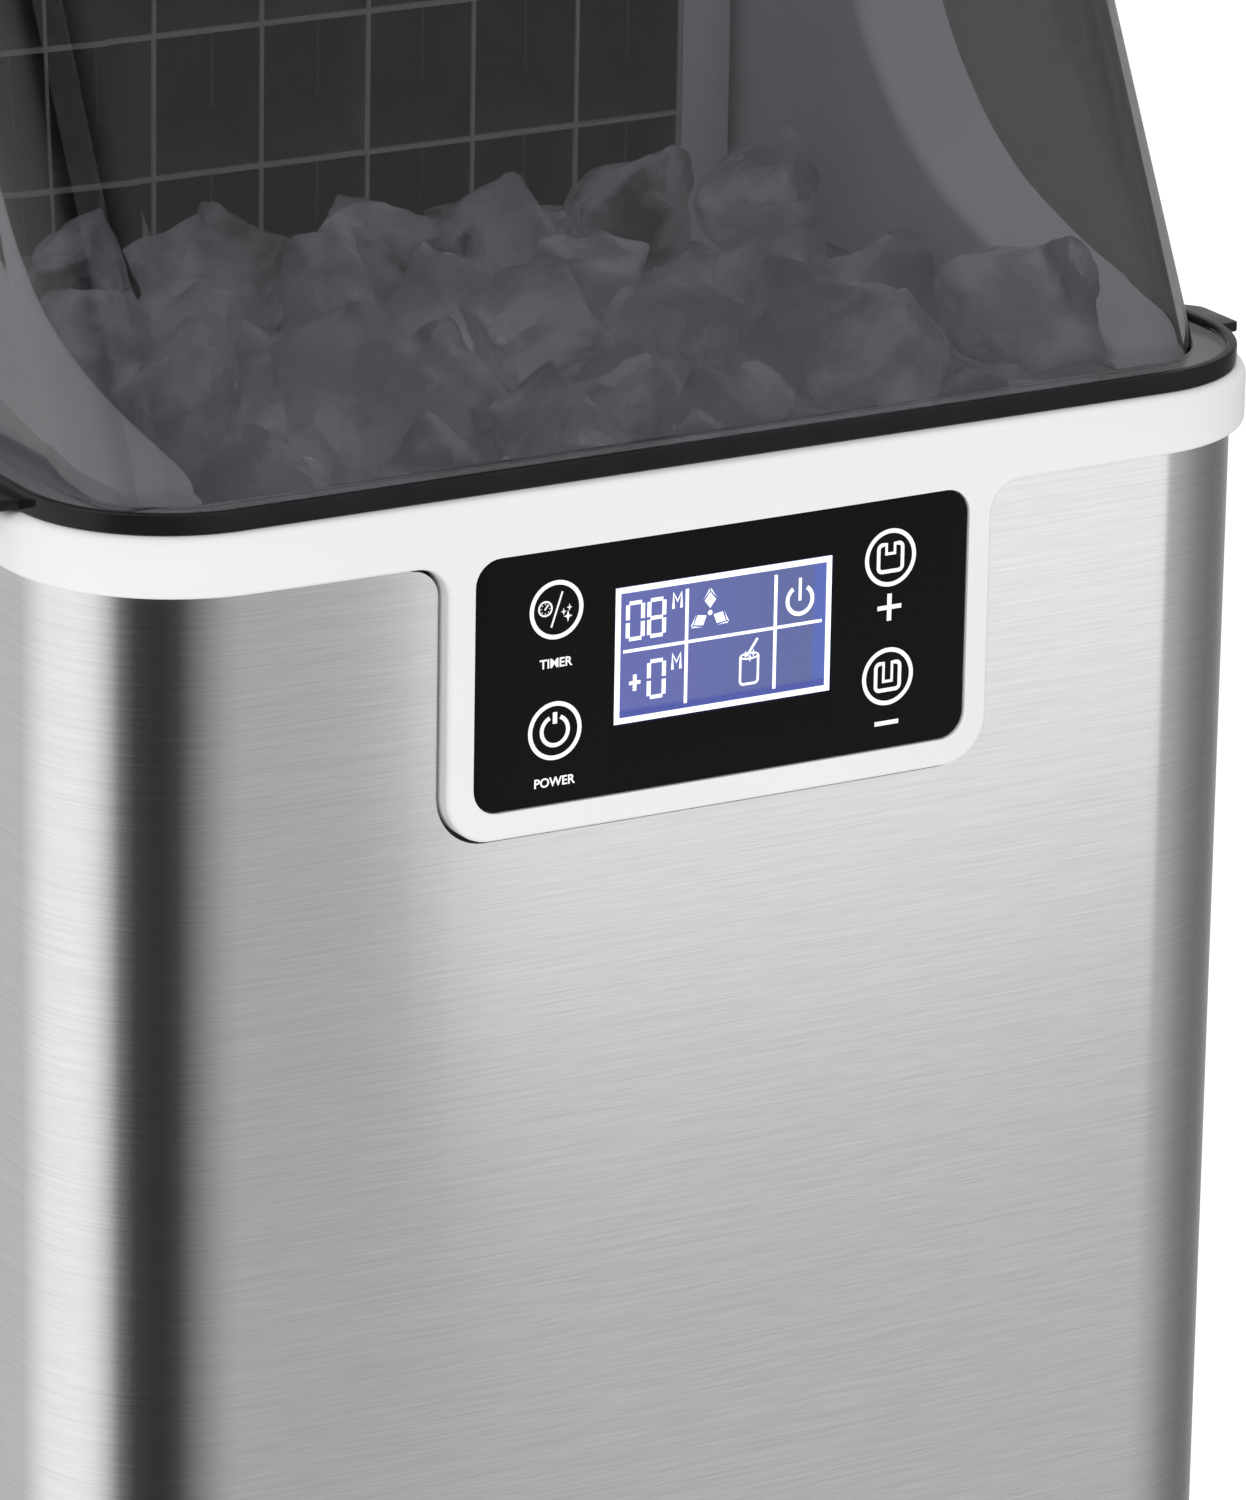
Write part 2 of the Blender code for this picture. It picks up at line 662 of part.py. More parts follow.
def side_cheeks():
    rear = HOUSING_FRONT - GAP
    boss = arc((HINGE_DEPTH, HINGE_HEIGHT), CHEEK_TOP - HINGE_HEIGHT, 90, -40, 5)
    shoulder = HINGE_HEIGHT - 0.0085
    outline = cheek_profile() + boss + [(HINGE_DEPTH + 0.0095, shoulder), (rear, shoulder), (rear, 0.6165)]
    inner = BIN_HALF_WIDTH + GAP
    for name, side in (("side_cheek_left", -1), ("side_cheek_right", 1)):
        low, high = sorted((side * inner, side * CHEEK_OUT))
        cheek = slab(outline, "X", low, high)
        common(cheek, lid_block(LID_WALL + 0.0015, 0.600, HOUSING_FRONT + 0.01))
        pin = rod((side * 0.148, HINGE_DEPTH, HINGE_HEIGHT), (side * 0.17, HINGE_DEPTH, HINGE_HEIGHT),
                  HINGE_PIN_RADIUS + GAP)
        swing = rod((side * 0.1594, HINGE_DEPTH, HINGE_HEIGHT), (side * 0.17, HINGE_DEPTH, HINGE_HEIGHT),
                    0.0095)
        cut(cheek, pin, swing)
        part(name, cheek, WHITE)


def rear_housing():
    half = 0.178
    low = COLLAR_TOP + GAP
    outline = rounded_rectangle((-half, HOUSING_FRONT), (half, REAR - 0.001), 0.006, 3)
    shell = slab(outline, "Z", low, HOUSING_TOP)
    inner = rounded_rectangle((-half + HOUSING_WALL, HOUSING_FRONT + HOUSING_WALL),
                              (half - HOUSING_WALL, REAR - 0.001 - HOUSING_WALL), 0.003, 2)
    cut(shell, slab(inner, "Z", low - 0.01, HOUSING_TOP + 0.01))
    way_through = box((-0.136, HOUSING_FRONT - 0.01, low - 0.01),
                      (0.136, HOUSING_FRONT + 0.02, HOUSING_TOP + 0.01))
    cut(shell, way_through)
    louvres = slots((-0.060, REAR, 0.700), (0.060, REAR, 0.760), 5, 0.004, "Y")
    cut(shell, gathered(louvres))
    part("rear_housing", shell, WHITE)


def top_cover():
    half = 0.178
    outline = rounded_rectangle((-half, HOUSING_FRONT), (half, REAR - 0.001), 0.006, 3)
    plate = slab(outline, "Z", HOUSING_TOP + GAP, COVER_TOP)
    round_edges(plate, flat_at(COVER_TOP), 0.0012, 1)
    lip = slab(rounded_rectangle((-0.174, HOUSING_FRONT + 0.004), (0.174, REAR - 0.005), 0.003, 1), "Z",
               HOUSING_TOP - 0.003, HOUSING_TOP + 0.001)
    part("top_cover", join(plate, lip), WHITE)


# ---------------------------------------------------------------- bin

def liner_block(grow, low, high, radius):
    outline = rounded_rectangle((-BIN_HALF_WIDTH - grow, BIN_FRONT - grow),
                                (BIN_HALF_WIDTH + grow, BIN_REAR + grow),
                                radius + grow)
    return slab(outline, "Z", low, high)


def bin_liner():
    top = SEAM_HEIGHT - GAP
    tub = liner_block(LINER_WALL, BIN_FLOOR - LINER_WALL, top, 0.012)
    flange = rounded_rectangle((-0.170, FRONT + 0.0165), (0.170, BIN_REAR + LINER_WALL), 0.008, 2)
    join(tub, slab(flange, "Z", top - LINER_WALL, top))
    cavity = liner_block(0, BIN_FLOOR, top + 0.02, 0.012)
    cut(tub, round_edges(cavity, flat_at(BIN_FLOOR), 0.010, 2))
    cut(tub, box((-0.133, BIN_REAR - 0.002, 0.574), (0.133, BIN_REAR + 0.01, 0.62)))
    cut(tub, rod((DRAIN_X, BIN_REAR - 0.01, DRAIN_HEIGHT + 0.004),
                 (DRAIN_X, BIN_REAR + 0.01, DRAIN_HEIGHT + 0.004),
                 0.004, sides=12))
    cut(tub, rod((0.13, PROBE_Y, PROBE_HEIGHT), (0.15, PROBE_Y, PROBE_HEIGHT), 0.0034, sides=12))
    part("bin_liner", tub, WHITE)


def bin_insulation():
    low = DECK_TOP + GAP
    block = slab(rounded_rectangle((-0.1755, FRONT + 0.046), (0.1755, FRONT + 0.244), 0.004, 1), "Z", low,
                 0.5965)
    front_block = slab(rounded_rectangle((-0.135, FRONT + 0.0045), (0.135, FRONT + 0.060), 0.003, 1), "Z",
                       low, 0.5965)
    join(block, front_block)
    cut(block, liner_block(LINER_WALL + GAP, BIN_FLOOR - LINER_WALL - GAP, 0.62, 0.012))
    cut(block, box((-0.095, FRONT - 0.01, 0.512), (0.095, FRONT + 0.03, 0.62)))
    cut(block, box((-0.133, BIN_REAR, 0.535), (0.133, FRONT + 0.26, 0.62)))
    cut(block, rod((DRAIN_X, BIN_REAR, DRAIN_HEIGHT), (DRAIN_X, FRONT + 0.26, DRAIN_HEIGHT), 0.0087))
    cut(block, rod((0.139, PROBE_Y, PROBE_HEIGHT), (0.152, PROBE_Y, PROBE_HEIGHT), 0.0075))
    part("bin_insulation", block, FOAM)


def bin_probe():
    centre = (BIN_HALF_WIDTH + LINER_WALL + GAP, PROBE_Y, PROBE_HEIGHT)
    profile = [(0, 0.008), (0.0065, 0.008), (0.0065, 0), (0.0030, 0), (0.0030, -0.018), (0.0020, -0.020),
               (0, -0.020)]
    part("bin_probe", turned(profile, centre, X_AXIS, 12), STEEL)


def bin_drain_tube():
    start, end = BIN_REAR + LINER_WALL + GAP, FRONT + 0.369
    pipe = rod((DRAIN_X, start, DRAIN_HEIGHT), (DRAIN_X, end, DRAIN_HEIGHT), 0.0083)
    cut(pipe, rod((DRAIN_X, start - 0.01, DRAIN_HEIGHT), (DRAIN_X, end + 0.01, DRAIN_HEIGHT), 0.0060))
    part("bin_drain_tube", pipe, HOSE)


def drain_cap():
    centre = (DRAIN_X, FRONT + 0.369 + GAP, DRAIN_HEIGHT)
    thickness = REAR_REACH - centre[1]
    profile = [(0, thickness), (0.0085, thickness), (0.0105, thickness - 0.002), (0.0105, 0), (0.0057, 0),
               (0.0052, -0.008), (0, -0.008)]
    on_axis(part("drain_cap", turned(profile, centre, Y_AXIS, 16), RUBBER), "drain_cap_axis", centre)


# ---------------------------------------------------------------- ice making

def evaporator_grid():
    half = CELL_COLUMNS * COLUMN_PITCH / 2
    high = GRID_LOW + CELL_ROWS * ROW_PITCH
    back = GRID_FRONT + CELL_DEPTH
    block = box((-half - FIN / 2, GRID_FRONT, GRID_LOW - FIN / 2),
                (half + FIN / 2, back + 0.0015, high + FIN / 2))
    drop = math.tan(FIN_SLOPE)
    cells = []
    for column in range(CELL_COLUMNS):
        for row in range(CELL_ROWS):
            left = -half + column * COLUMN_PITCH + FIN / 2
            low = GRID_LOW + row * ROW_PITCH + FIN / 2
            ceiling = ROW_PITCH - FIN
            if row == CELL_ROWS - 1:
                ceiling -= CELL_DEPTH * drop
            cell = box((left, GRID_FRONT - 0.004, low), (left + COLUMN_PITCH - FIN, back, low + ceiling))
            shear = Matrix.Identity(4)
            shear[2][1] = drop
            at_front = Matrix.Translation((0, GRID_FRONT, 0))
            cell.data.transform(at_front @ shear @ at_front.inverted())
            cells.append(cell)
    part("evaporator_grid", cut(block, gathered(cells)), DARK_METAL, smooth=False)


def evaporator_frame():
    inner = CELL_COLUMNS * COLUMN_PITCH / 2 + FIN / 2 + GAP
    low, high = GRID_LOW - FIN / 2 - GAP, GRID_LOW + CELL_ROWS * ROW_PITCH + FIN / 2 + GAP
    ring = box((-0.133, GRID_FRONT - 0.001, 0.6005), (0.133, GRID_FRONT + 0.026, 0.7755))
    cut(ring, box((-inner, GRID_FRONT - 0.01, low), (inner, GRID_FRONT + 0.04, high)))
    part("evaporator_frame", ring, WHITE)


def evaporator_coil():
    reach = 0.098
    rise = 0.028
    low = 0.618
    route = []
    for number in range(COIL_PASSES):
        z = low + rise * number
        side = -1 if number % 2 == 0 else 1
        route += [(side * reach, COIL_DEPTH, z), (-side * reach, COIL_DEPTH, z)]
        if number < COIL_PASSES - 1:
            turns = arc((0, 0), rise / 2, -90, 90, 6)[1:-1]
            route += [(-side * (reach + across), COIL_DEPTH, z + rise / 2 + up) for across, up in turns]
    top = low + rise * (COIL_PASSES - 1)
    inlet = smooth_route([Vector(p) for p in ((-reach, COIL_DEPTH, top), (-0.112, COIL_DEPTH + 0.006, top),
                                              (-0.120, COIL_DEPTH + 0.025, top - 0.004),
                                              (-0.120, COIL_DEPTH + 0.040, top - 0.030),
                                              (-0.120, COIL_DEPTH + 0.040, top - 0.045),
                                              (-0.120, COIL_DEPTH + 0.040, top - 0.060))], 3)
    outlet = smooth_route([Vector(p) for p in ((-0.145, COIL_DEPTH + 0.030, 0.585),
                                               (-0.145, COIL_DEPTH + 0.030, 0.592),
                                               (-0.145, COIL_DEPTH + 0.030, 0.602),
                                               (-0.130, COIL_DEPTH + 0.010, low - 0.002),
                                               (-reach, COIL_DEPTH, low))], 3)
    part("evaporator_coil", tube([*outlet[:-1], *route[:-1], *inlet], COIL_RADIUS, 1), COPPER)


def water_distributor():
    y, z = DISTRIBUTOR_Y, DISTRIBUTOR_HEIGHT
    pipe = rod((-0.122, y, z), (0.122, y, z), 0.0055, sides=12)
    join(pipe, rod((0.112, y, z), (0.112, y + 0.0155, z), 0.0040, sides=12))
    cut(pipe, rod((-0.118, y, z), (0.118, y, z), 0.0040, sides=12))
    cut(pipe, rod((0.112, y, z), (0.112, y + 0.02, z), 0.0026, sides=12))
    places = [-0.105 + 0.030 * n for n in range(8)]
    holes = [rod((x, y, z), (x, y, z - 0.01), 0.0012, sides=6) for x in places]
    cut(pipe, gathered(holes))
    part("water_distributor", pipe, HOSE)


def ice_slide():
    """A slotted ramp under the evaporator: ice slides forward over it, and water drips through it."""
    thickness = 0.003
    ramp = slab(rounded_rectangle((-0.128, -0.024), (0.128, 0.021), 0.002, 1), "Z", 0, thickness)
    gaps = [box((-0.120 + 0.016 * n, -0.014, -0.01), (-0.111 + 0.016 * n, 0.015, 0.01)) for n in range(15)]
    cut(ramp, gathered(gaps))
    ramp = applied(ramp)
    lean = Matrix.Rotation(math.radians(20), 4, "X")
    ramp.data.transform(Matrix.Translation((0, FRONT + 0.229, 0.5885)) @ lean)
    part("ice_slide", ramp, WHITE)


def water_trough():
    left, right = -0.127, 0.130
    front, middle, back = FRONT + 0.2165, FRONT + 0.262, FRONT + 0.332
    low, high, wall = 0.548, 0.5755, 0.002
    plan = [(left, front), (right, front), (right, back), (0.062, back), (0.062, middle), (left, middle)]
    inner = [(left + wall, front + wall), (right - wall, front + wall), (right - wall, back - wall),
             (0.062 + wall, back - wall), (0.062 + wall, middle - wall), (left + wall, middle - wall)]
    tray = slab(plan, "Z", low, high)
    cut(tray, slab(inner, "Z", low + wall, high + 0.01))
    for x in (FLOAT_X - 0.008, FLOAT_X + 0.006):
        post = box((x, middle - 0.0145, low + 0.001), (x + 0.002, middle - 0.0005, FLOAT_PIVOT_Z + 0.004))
        join(tray, post)
    join(tray, rod((FLOAT_X - 0.007, FLOAT_PIVOT_Y, FLOAT_PIVOT_Z),
                   (FLOAT_X + 0.007, FLOAT_PIVOT_Y, FLOAT_PIVOT_Z),
                   0.0015, sides=12))
    part("water_trough", tray, WHITE)


def float_arm():
    y, z = FLOAT_PIVOT_Y, FLOAT_PIVOT_Z
    hub = rod((FLOAT_X - 0.0045, y, z), (FLOAT_X + 0.0045, y, z), 0.0040, sides=12)
    end = y - 0.015
    join(hub, box((FLOAT_X - 0.002, end - 0.0015, z - 0.0015), (FLOAT_X + 0.002, y - 0.001, z + 0.0015)))
    join(hub, rod((FLOAT_X, end, z - 0.025), (FLOAT_X, end, z + 0.0010), 0.0016, sides=8))
    join(hub, rod((FLOAT_X, end, z - 0.033), (FLOAT_X, end, z - 0.018), 0.0055, sides=12))
    cut(hub, rod((FLOAT_X - 0.01, y, z), (FLOAT_X + 0.01, y, z), 0.0020, sides=12))
    on_axis(part("float_arm", hub, HOSE), "float_axis", (FLOAT_X, y, z))


def pump_body():
    profile = [(0, 0.640), (0.018, 0.640), (0.022, 0.636), (0.022, 0.592), (0.026, 0.588), (0.026, 0.584),
               (0.010, 0.584), (0.010, 0.574), (0.020, 0.572), (0.020, 0.556), (0.016, 0.556), (0.016, 0.569),
               (0, 0.569)]
    body = turned(profile, (PUMP_X, PUMP_Y, 0), sides=16)
    join(body, box((PUMP_X - 0.036, PUMP_Y - 0.012, 0.5765), (PUMP_X + 0.036, PUMP_Y + 0.012, 0.5795)))
    cut(body, rod((PUMP_X, PUMP_Y, 0.560), (PUMP_X, PUMP_Y, 0.599), 0.0030, sides=12))
    part("pump_body", body, PAINT)


def pump_impeller():
    centre = (PUMP_X, PUMP_Y, 0)
    rotor = turned([(0, 0.597), (0.0025, 0.597), (0.0025, 0.5675), (0.0045, 0.5660), (0.0045, 0.5600),
                    (0.0135, 0.5600),
                    (0.0135, 0.5585), (0, 0.5585)], centre, sides=12)
    for number in range(6):
        blade = box((0.003, -0.0006, 0.559), (0.013, 0.0006, 0.5665))
        blade.data.transform(Matrix.Translation(centre) @ Matrix.Rotation(math.tau * number / 6, 4, "Z"))
        join(rotor, blade)
    on_axis(part("pump_impeller", rotor, HOSE), "pump_axis", (PUMP_X, PUMP_Y, 0.5625))


def pump_hose():
    route = [(PUMP_X + 0.0225, PUMP_Y, 0.620), (0.128, PUMP_Y, 0.6215), (0.140, PUMP_Y - 0.004, 0.640),
             (0.1440, PUMP_Y - 0.008, 0.690), (0.1380, PUMP_Y - 0.012, 0.745),
             (0.1220, PUMP_Y - 0.022, 0.775),
             (0.1125, DISTRIBUTOR_Y + 0.032, DISTRIBUTOR_HEIGHT),
             (0.112, DISTRIBUTOR_Y + 0.0158, DISTRIBUTOR_HEIGHT)]
    part("pump_hose", tube(route, 0.0040, 1, 2), HOSE)


# ---------------------------------------------------------------- refrigeration

def compressor():
    r = COMPRESSOR_RADIUS
    profile = [(0, 0.205), (0.030, 0.2025), (0.050, 0.192), (0.0595, 0.172), (r, 0.150), (r, 0.122),
               (r + 0.002, 0.120),
               (r + 0.002, 0.114), (r, 0.112), (r, 0.085), (0.058, 0.062), (0.046, 0.046), (0.030, 0.0385),
               (0, 0.0385)]
    dome = turned(profile, (COMPRESSOR_X, COMPRESSOR_Y, 0), sides=20)
    plate = slab(rounded_rectangle((COMPRESSOR_X - 0.072, COMPRESSOR_Y - 0.056),
                                   (COMPRESSOR_X + 0.072, COMPRESSOR_Y + 0.056), 0.012, 3), "Z", 0.0368,
                                   0.0398)
    join(dome, plate)
    join(dome, box((COMPRESSOR_X - 0.022, COMPRESSOR_Y - 0.075, 0.090),
                   (COMPRESSOR_X + 0.022, COMPRESSOR_Y - 0.050, 0.145)))
    part("compressor", dome, PAINT)


def compressor_grommets():
    profile = [(0, 0.0365), (0.0085, 0.0365), (0.0095, 0.0345), (0.0095, 0.031), (0.0075, 0.029),
               (0.0075, 0.022),
               (0.0095, 0.020), (0.0095, 0.0165), (0, 0.0165)]
    places = [(sx * 0.058, sy * 0.043) for sy in (-1, 1) for sx in (-1, 1)]
    for number, (x, y) in enumerate(places):
        centre = (COMPRESSOR_X + x, COMPRESSOR_Y + y, 0)
        part(f"compressor_grommet_{number + 1}", turned(profile, centre, sides=8), RUBBER)


def condenser_core():
    low_x, high_x = 0.1205, 0.158
    low_z, high_z = FAN_HEIGHT - CORE_HALF, FAN_HEIGHT + CORE_HALF
    core = box((low_x, FAN_Y - CORE_HALF, low_z), (high_x, FAN_Y + CORE_HALF, high_z))
    grooves = []
    for number in range(11):
        y = FAN_Y - CORE_HALF + 0.010 + number * 0.0145
        for x in (low_x - 0.002, high_x - 0.0060):
            grooves.append(box((x, y, low_z + 0.004), (x + 0.008, y + 0.0075, high_z - 0.004)))
    part("condenser_core", cut(core, gathered(grooves)), FINS, smooth=False)


def fan_shroud():
    low_x, high_x = 0.0925, 0.1200
    frame = box((low_x, FAN_Y - CORE_HALF, FAN_HEIGHT - CORE_HALF),
                (high_x, FAN_Y + CORE_HALF, FAN_HEIGHT + CORE_HALF))
    cut(frame, rod((low_x - 0.01, FAN_Y, FAN_HEIGHT), (high_x + 0.01, FAN_Y, FAN_HEIGHT), FAN_RADIUS + 0.006,
                   sides=32))
    foot = box((low_x, FAN_Y - 0.060, 0.0168), (high_x, FAN_Y + 0.060, FAN_HEIGHT - CORE_HALF + 0.001))
    part("fan_shroud", join(frame, foot), PAINT)


def fan_motor():
    motor = rod((0.060, FAN_Y, FAN_HEIGHT), (0.0895, FAN_Y, FAN_HEIGHT), 0.024, sides=20)
    join(motor, rod((0.080, FAN_Y, FAN_HEIGHT), (FAN_X + 0.003, FAN_Y, FAN_HEIGHT), 0.0030, sides=12))
    join(motor, box((0.0892 - 0.003, FAN_Y - 0.080, FAN_HEIGHT - 0.006),
                    (0.0920, FAN_Y + 0.080, FAN_HEIGHT + 0.006)))
    part("fan_motor", motor, PAINT)


def fan_blades():
    rotor = rod((FAN_X - 0.007, FAN_Y, FAN_HEIGHT), (FAN_X + 0.009, FAN_Y, FAN_HEIGHT), 0.018, sides=20)
    for number in range(5):
        blade = box((-0.0011, -0.018, 0.014), (0.0011, 0.018, FAN_RADIUS))
        pitch = Matrix.Rotation(math.radians(28), 4, "Z")
        turn = Matrix.Rotation(math.tau * number / 5, 4, "X")
        blade.data.transform(Matrix.Translation((FAN_X, FAN_Y, FAN_HEIGHT)) @ turn @ pitch)
        join(rotor, blade)
    cut(rotor, rod((FAN_X - 0.02, FAN_Y, FAN_HEIGHT), (FAN_X + 0.0045, FAN_Y, FAN_HEIGHT), 0.0034, sides=12))
    on_axis(part("fan_blades", rotor, HOSE), "fan_axis", (FAN_X, FAN_Y, FAN_HEIGHT))


def hot_gas_valve():
    x, y = 0.0, FRONT + 0.325
    body = rod((x, y, 0.150), (x, y, 0.192), 0.0075, sides=12)
    join(body, box((x - 0.014, y - 0.016, 0.158), (x + 0.014, y + 0.016, 0.184)))
    part("hot_gas_valve", body, BRASS)


def filter_drier():
    y, z = FRONT + 0.300, 0.060
    profile = [(0, 0.110), (0.004, 0.110), (0.005, 0.098), (0.0095, 0.090), (0.0095, 0.020), (0.005, 0.012),
               (0.004, 0), (0, 0)]
    part("filter_drier", turned(profile, (0.020, y, z), X_AXIS, 12), COPPER)


def refrigerant_lines():
    """Bent pipes between the compressor, condenser, drier, valve and evaporator."""
    cx, cy, r = COMPRESSOR_X, COMPRESSOR_Y, COMPRESSOR_RADIUS
    suction = [(-0.145, COIL_DEPTH + 0.030, 0.5847), (-0.145, COIL_DEPTH + 0.030, 0.578),
               (-0.145, COIL_DEPTH + 0.030, 0.568), (-0.142, FRONT + 0.300, 0.500),
               (-0.140, FRONT + 0.302, 0.300), (-0.136, FRONT + 0.302, 0.180), (-0.122, FRONT + 0.297, 0.138),
               (cx - 0.0345, cy + 0.0545, 0.130)]
    part("suction_line", tube(suction, 0.0040, 1, 3), COPPER)
    discharge = [(cx, cy, 0.2056), (cx, cy - 0.001, 0.2125), (cx + 0.015, cy - 0.008, 0.2205),
                 (0.0, FRONT + 0.200, 0.2225),
                 (0.080, FRONT + 0.172, 0.2235), (0.128, FRONT + 0.155, 0.2235),
                 (0.1395, FRONT + 0.151, 0.2212),
                 (0.140, FRONT + 0.150, 0.2155)]
    part("discharge_line", tube(discharge, 0.0030, 1, 3), COPPER)
    lower = [(cx + 0.0405, cy + 0.0500, 0.140), (-0.018, FRONT + 0.287, 0.139),
             (-0.004, FRONT + 0.303, 0.134),
             (0.0, FRONT + 0.320, 0.136), (0.0, FRONT + 0.325, 0.141), (0.0, FRONT + 0.325, 0.145),
             (0.0, FRONT + 0.325, 0.1497)]
    part("hot_gas_line_lower", tube(lower, 0.0030, 1, 3), COPPER)
    top = 0.618 + 0.028 * (COIL_PASSES - 1)
    upper = [(0.0, FRONT + 0.325, 0.1923), (0.0, FRONT + 0.325, 0.200), (0.0, FRONT + 0.325, 0.210),
             (-0.050, FRONT + 0.325, 0.300),
             (-0.105, FRONT + 0.312, 0.400), (-0.119, FRONT + 0.300, 0.550),
             (-0.120, COIL_DEPTH + 0.040, top - 0.100), (-0.120, COIL_DEPTH + 0.040, top - 0.080),
             (-0.120, COIL_DEPTH + 0.040, top - 0.0603)]
    part("hot_gas_line_upper", tube(upper, 0.0030, 1, 3), COPPER)
    liquid = [(0.140, FAN_Y + CORE_HALF + 0.0003, 0.062), (0.1405, FRONT + 0.250, 0.061),
              (0.146, FRONT + 0.285, 0.060),
              (0.142, FRONT + 0.299, 0.060), (0.1303, FRONT + 0.300, 0.060)]
    part("liquid_line", tube(liquid, 0.0030, 1, 3), COPPER)


def water_inlet():
    x, z = INLET_X, INLET_HEIGHT
    valve = box((x - 0.018, FRONT + 0.322, z - 0.018), (x + 0.018, FRONT + 0.3605, z + 0.018))
    join(valve, rod((x, FRONT + 0.350, z), (x, REAR_REACH, z), 0.0110, sides=20))
    cut(valve, rod((x, FRONT + 0.362, z), (x, REAR_REACH + 0.01, z), 0.0080, sides=20))
    join(valve, rod((x, FRONT + 0.335, z + 0.010), (x, FRONT + 0.335, z + 0.032), 0.0040, sides=12))
    part("water_inlet_valve", valve, HOSE)
    route = [(x, FRONT + 0.335, z + 0.0323), (x, FRONT + 0.335, 0.400), (0.118, FRONT + 0.340, 0.480),
             (0.122, FRONT + 0.340, 0.560), (0.122, FRONT + 0.338, 0.586), (0.1205, FRONT + 0.324, 0.592),
             (0.120, FRONT + 0.318, 0.583)]
    part("inlet_hose", tube(route, 0.0032, 1, 3), HOSE)


# ---------------------------------------------------------------- electrics

def power_board():
    front, back = FRONT + 0.340, FRONT + 0.3416
    board = slab(rounded_rectangle((-0.145, 0.300), (-0.040, 0.430), 0.003, 1), "Y", front, back)
    blocks = ((-0.125, 0.400, 0.020, 0.018), (-0.075, 0.405, 0.012, 0.014), (-0.120, 0.340, 0.010, 0.020),
              (-0.080, 0.345, 0.016, 0.010), (-0.058, 0.320, 0.008, 0.012))
    for x, z, half, depth in blocks:
        join(board, box((x - half, front - depth, z - half * 0.8),
                        (x + half, front + 0.0005, z + half * 0.8)))
    for x, z in ((-0.139, 0.306), (-0.046, 0.306), (-0.139, 0.424), (-0.046, 0.424)):
        join(board, rod((x, back - 0.001, z), (x, REAR - 0.0005, z), 0.0030, sides=8))
    part("power_board", board, BOARD)


def cord_gland():
    profile = [(0, 0.0075), (0.0090, 0.0075), (0.0115, 0.0055), (0.0115, 0), (0.0083, 0), (0.0083, -0.012),
               (0, -0.012)]
    gland = turned(profile, (GLAND_X, REAR + 0.0023, GLAND_HEIGHT), Y_AXIS, 16)
    bore = rod((GLAND_X, REAR - 0.03, GLAND_HEIGHT), (GLAND_X, REAR + 0.03, GLAND_HEIGHT), 0.0042, sides=12)
    cut(gland, bore)
    part("cord_gland", gland, RUBBER)


def build():
    outer_wrap()
    base_pan()
    mid_deck()
    back_panel()
    screws()
    levelling_feet()
    collar()
    panel_overlay()
    lcd_module()
    control_board()
    lid()
    hinge_pins()
    side_cheeks()
    rear_housing()
    top_cover()
    bin_liner()
    bin_insulation()
    bin_probe()
    bin_drain_tube()
    drain_cap()
    evaporator_grid()
    evaporator_frame()
    evaporator_coil()
    water_distributor()
    ice_slide()
    water_trough()
    float_arm()
    pump_body()
    pump_impeller()
    pump_hose()
    compressor()
    compressor_grommets()
    condenser_core()
    fan_shroud()
    fan_motor()
    fan_blades()
    hot_gas_valve()
    filter_drier()
    refrigerant_lines()
    water_inlet()
    power_board()
    cord_gland()


build()
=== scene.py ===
"""The finishes and fine shapes of a free-standing ice maker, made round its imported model.

Units are metres. +Z is up and the front faces -Y. Each piece is shaped with edit-mode tools, takes a finish
made of shader nodes, and rides on the body of the part that it stands for.
"""

import json
import math
import random

import bmesh
import bpy
from mathutils import Matrix, Quaternion, Vector, noise


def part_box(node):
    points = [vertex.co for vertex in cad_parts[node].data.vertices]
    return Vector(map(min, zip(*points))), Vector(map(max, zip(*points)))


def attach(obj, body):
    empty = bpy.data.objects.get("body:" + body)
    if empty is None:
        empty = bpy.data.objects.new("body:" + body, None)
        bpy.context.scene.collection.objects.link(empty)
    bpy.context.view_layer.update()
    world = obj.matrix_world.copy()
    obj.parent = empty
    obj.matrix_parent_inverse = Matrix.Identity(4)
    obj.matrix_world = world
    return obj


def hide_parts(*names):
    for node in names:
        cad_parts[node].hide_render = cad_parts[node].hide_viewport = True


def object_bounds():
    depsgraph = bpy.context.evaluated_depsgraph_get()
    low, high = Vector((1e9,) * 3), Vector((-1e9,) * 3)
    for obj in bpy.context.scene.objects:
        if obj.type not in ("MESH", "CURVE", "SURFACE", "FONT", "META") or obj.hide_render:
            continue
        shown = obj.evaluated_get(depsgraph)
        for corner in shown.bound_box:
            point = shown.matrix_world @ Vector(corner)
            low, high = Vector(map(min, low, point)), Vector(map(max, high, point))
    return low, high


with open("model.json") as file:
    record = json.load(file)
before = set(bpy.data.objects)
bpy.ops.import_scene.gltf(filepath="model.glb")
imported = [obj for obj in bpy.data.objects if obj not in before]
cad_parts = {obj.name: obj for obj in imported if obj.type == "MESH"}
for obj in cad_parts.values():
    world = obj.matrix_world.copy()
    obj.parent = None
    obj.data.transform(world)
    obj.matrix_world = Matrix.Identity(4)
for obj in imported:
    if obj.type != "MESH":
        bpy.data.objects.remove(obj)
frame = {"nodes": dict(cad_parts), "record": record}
CAD_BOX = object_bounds()

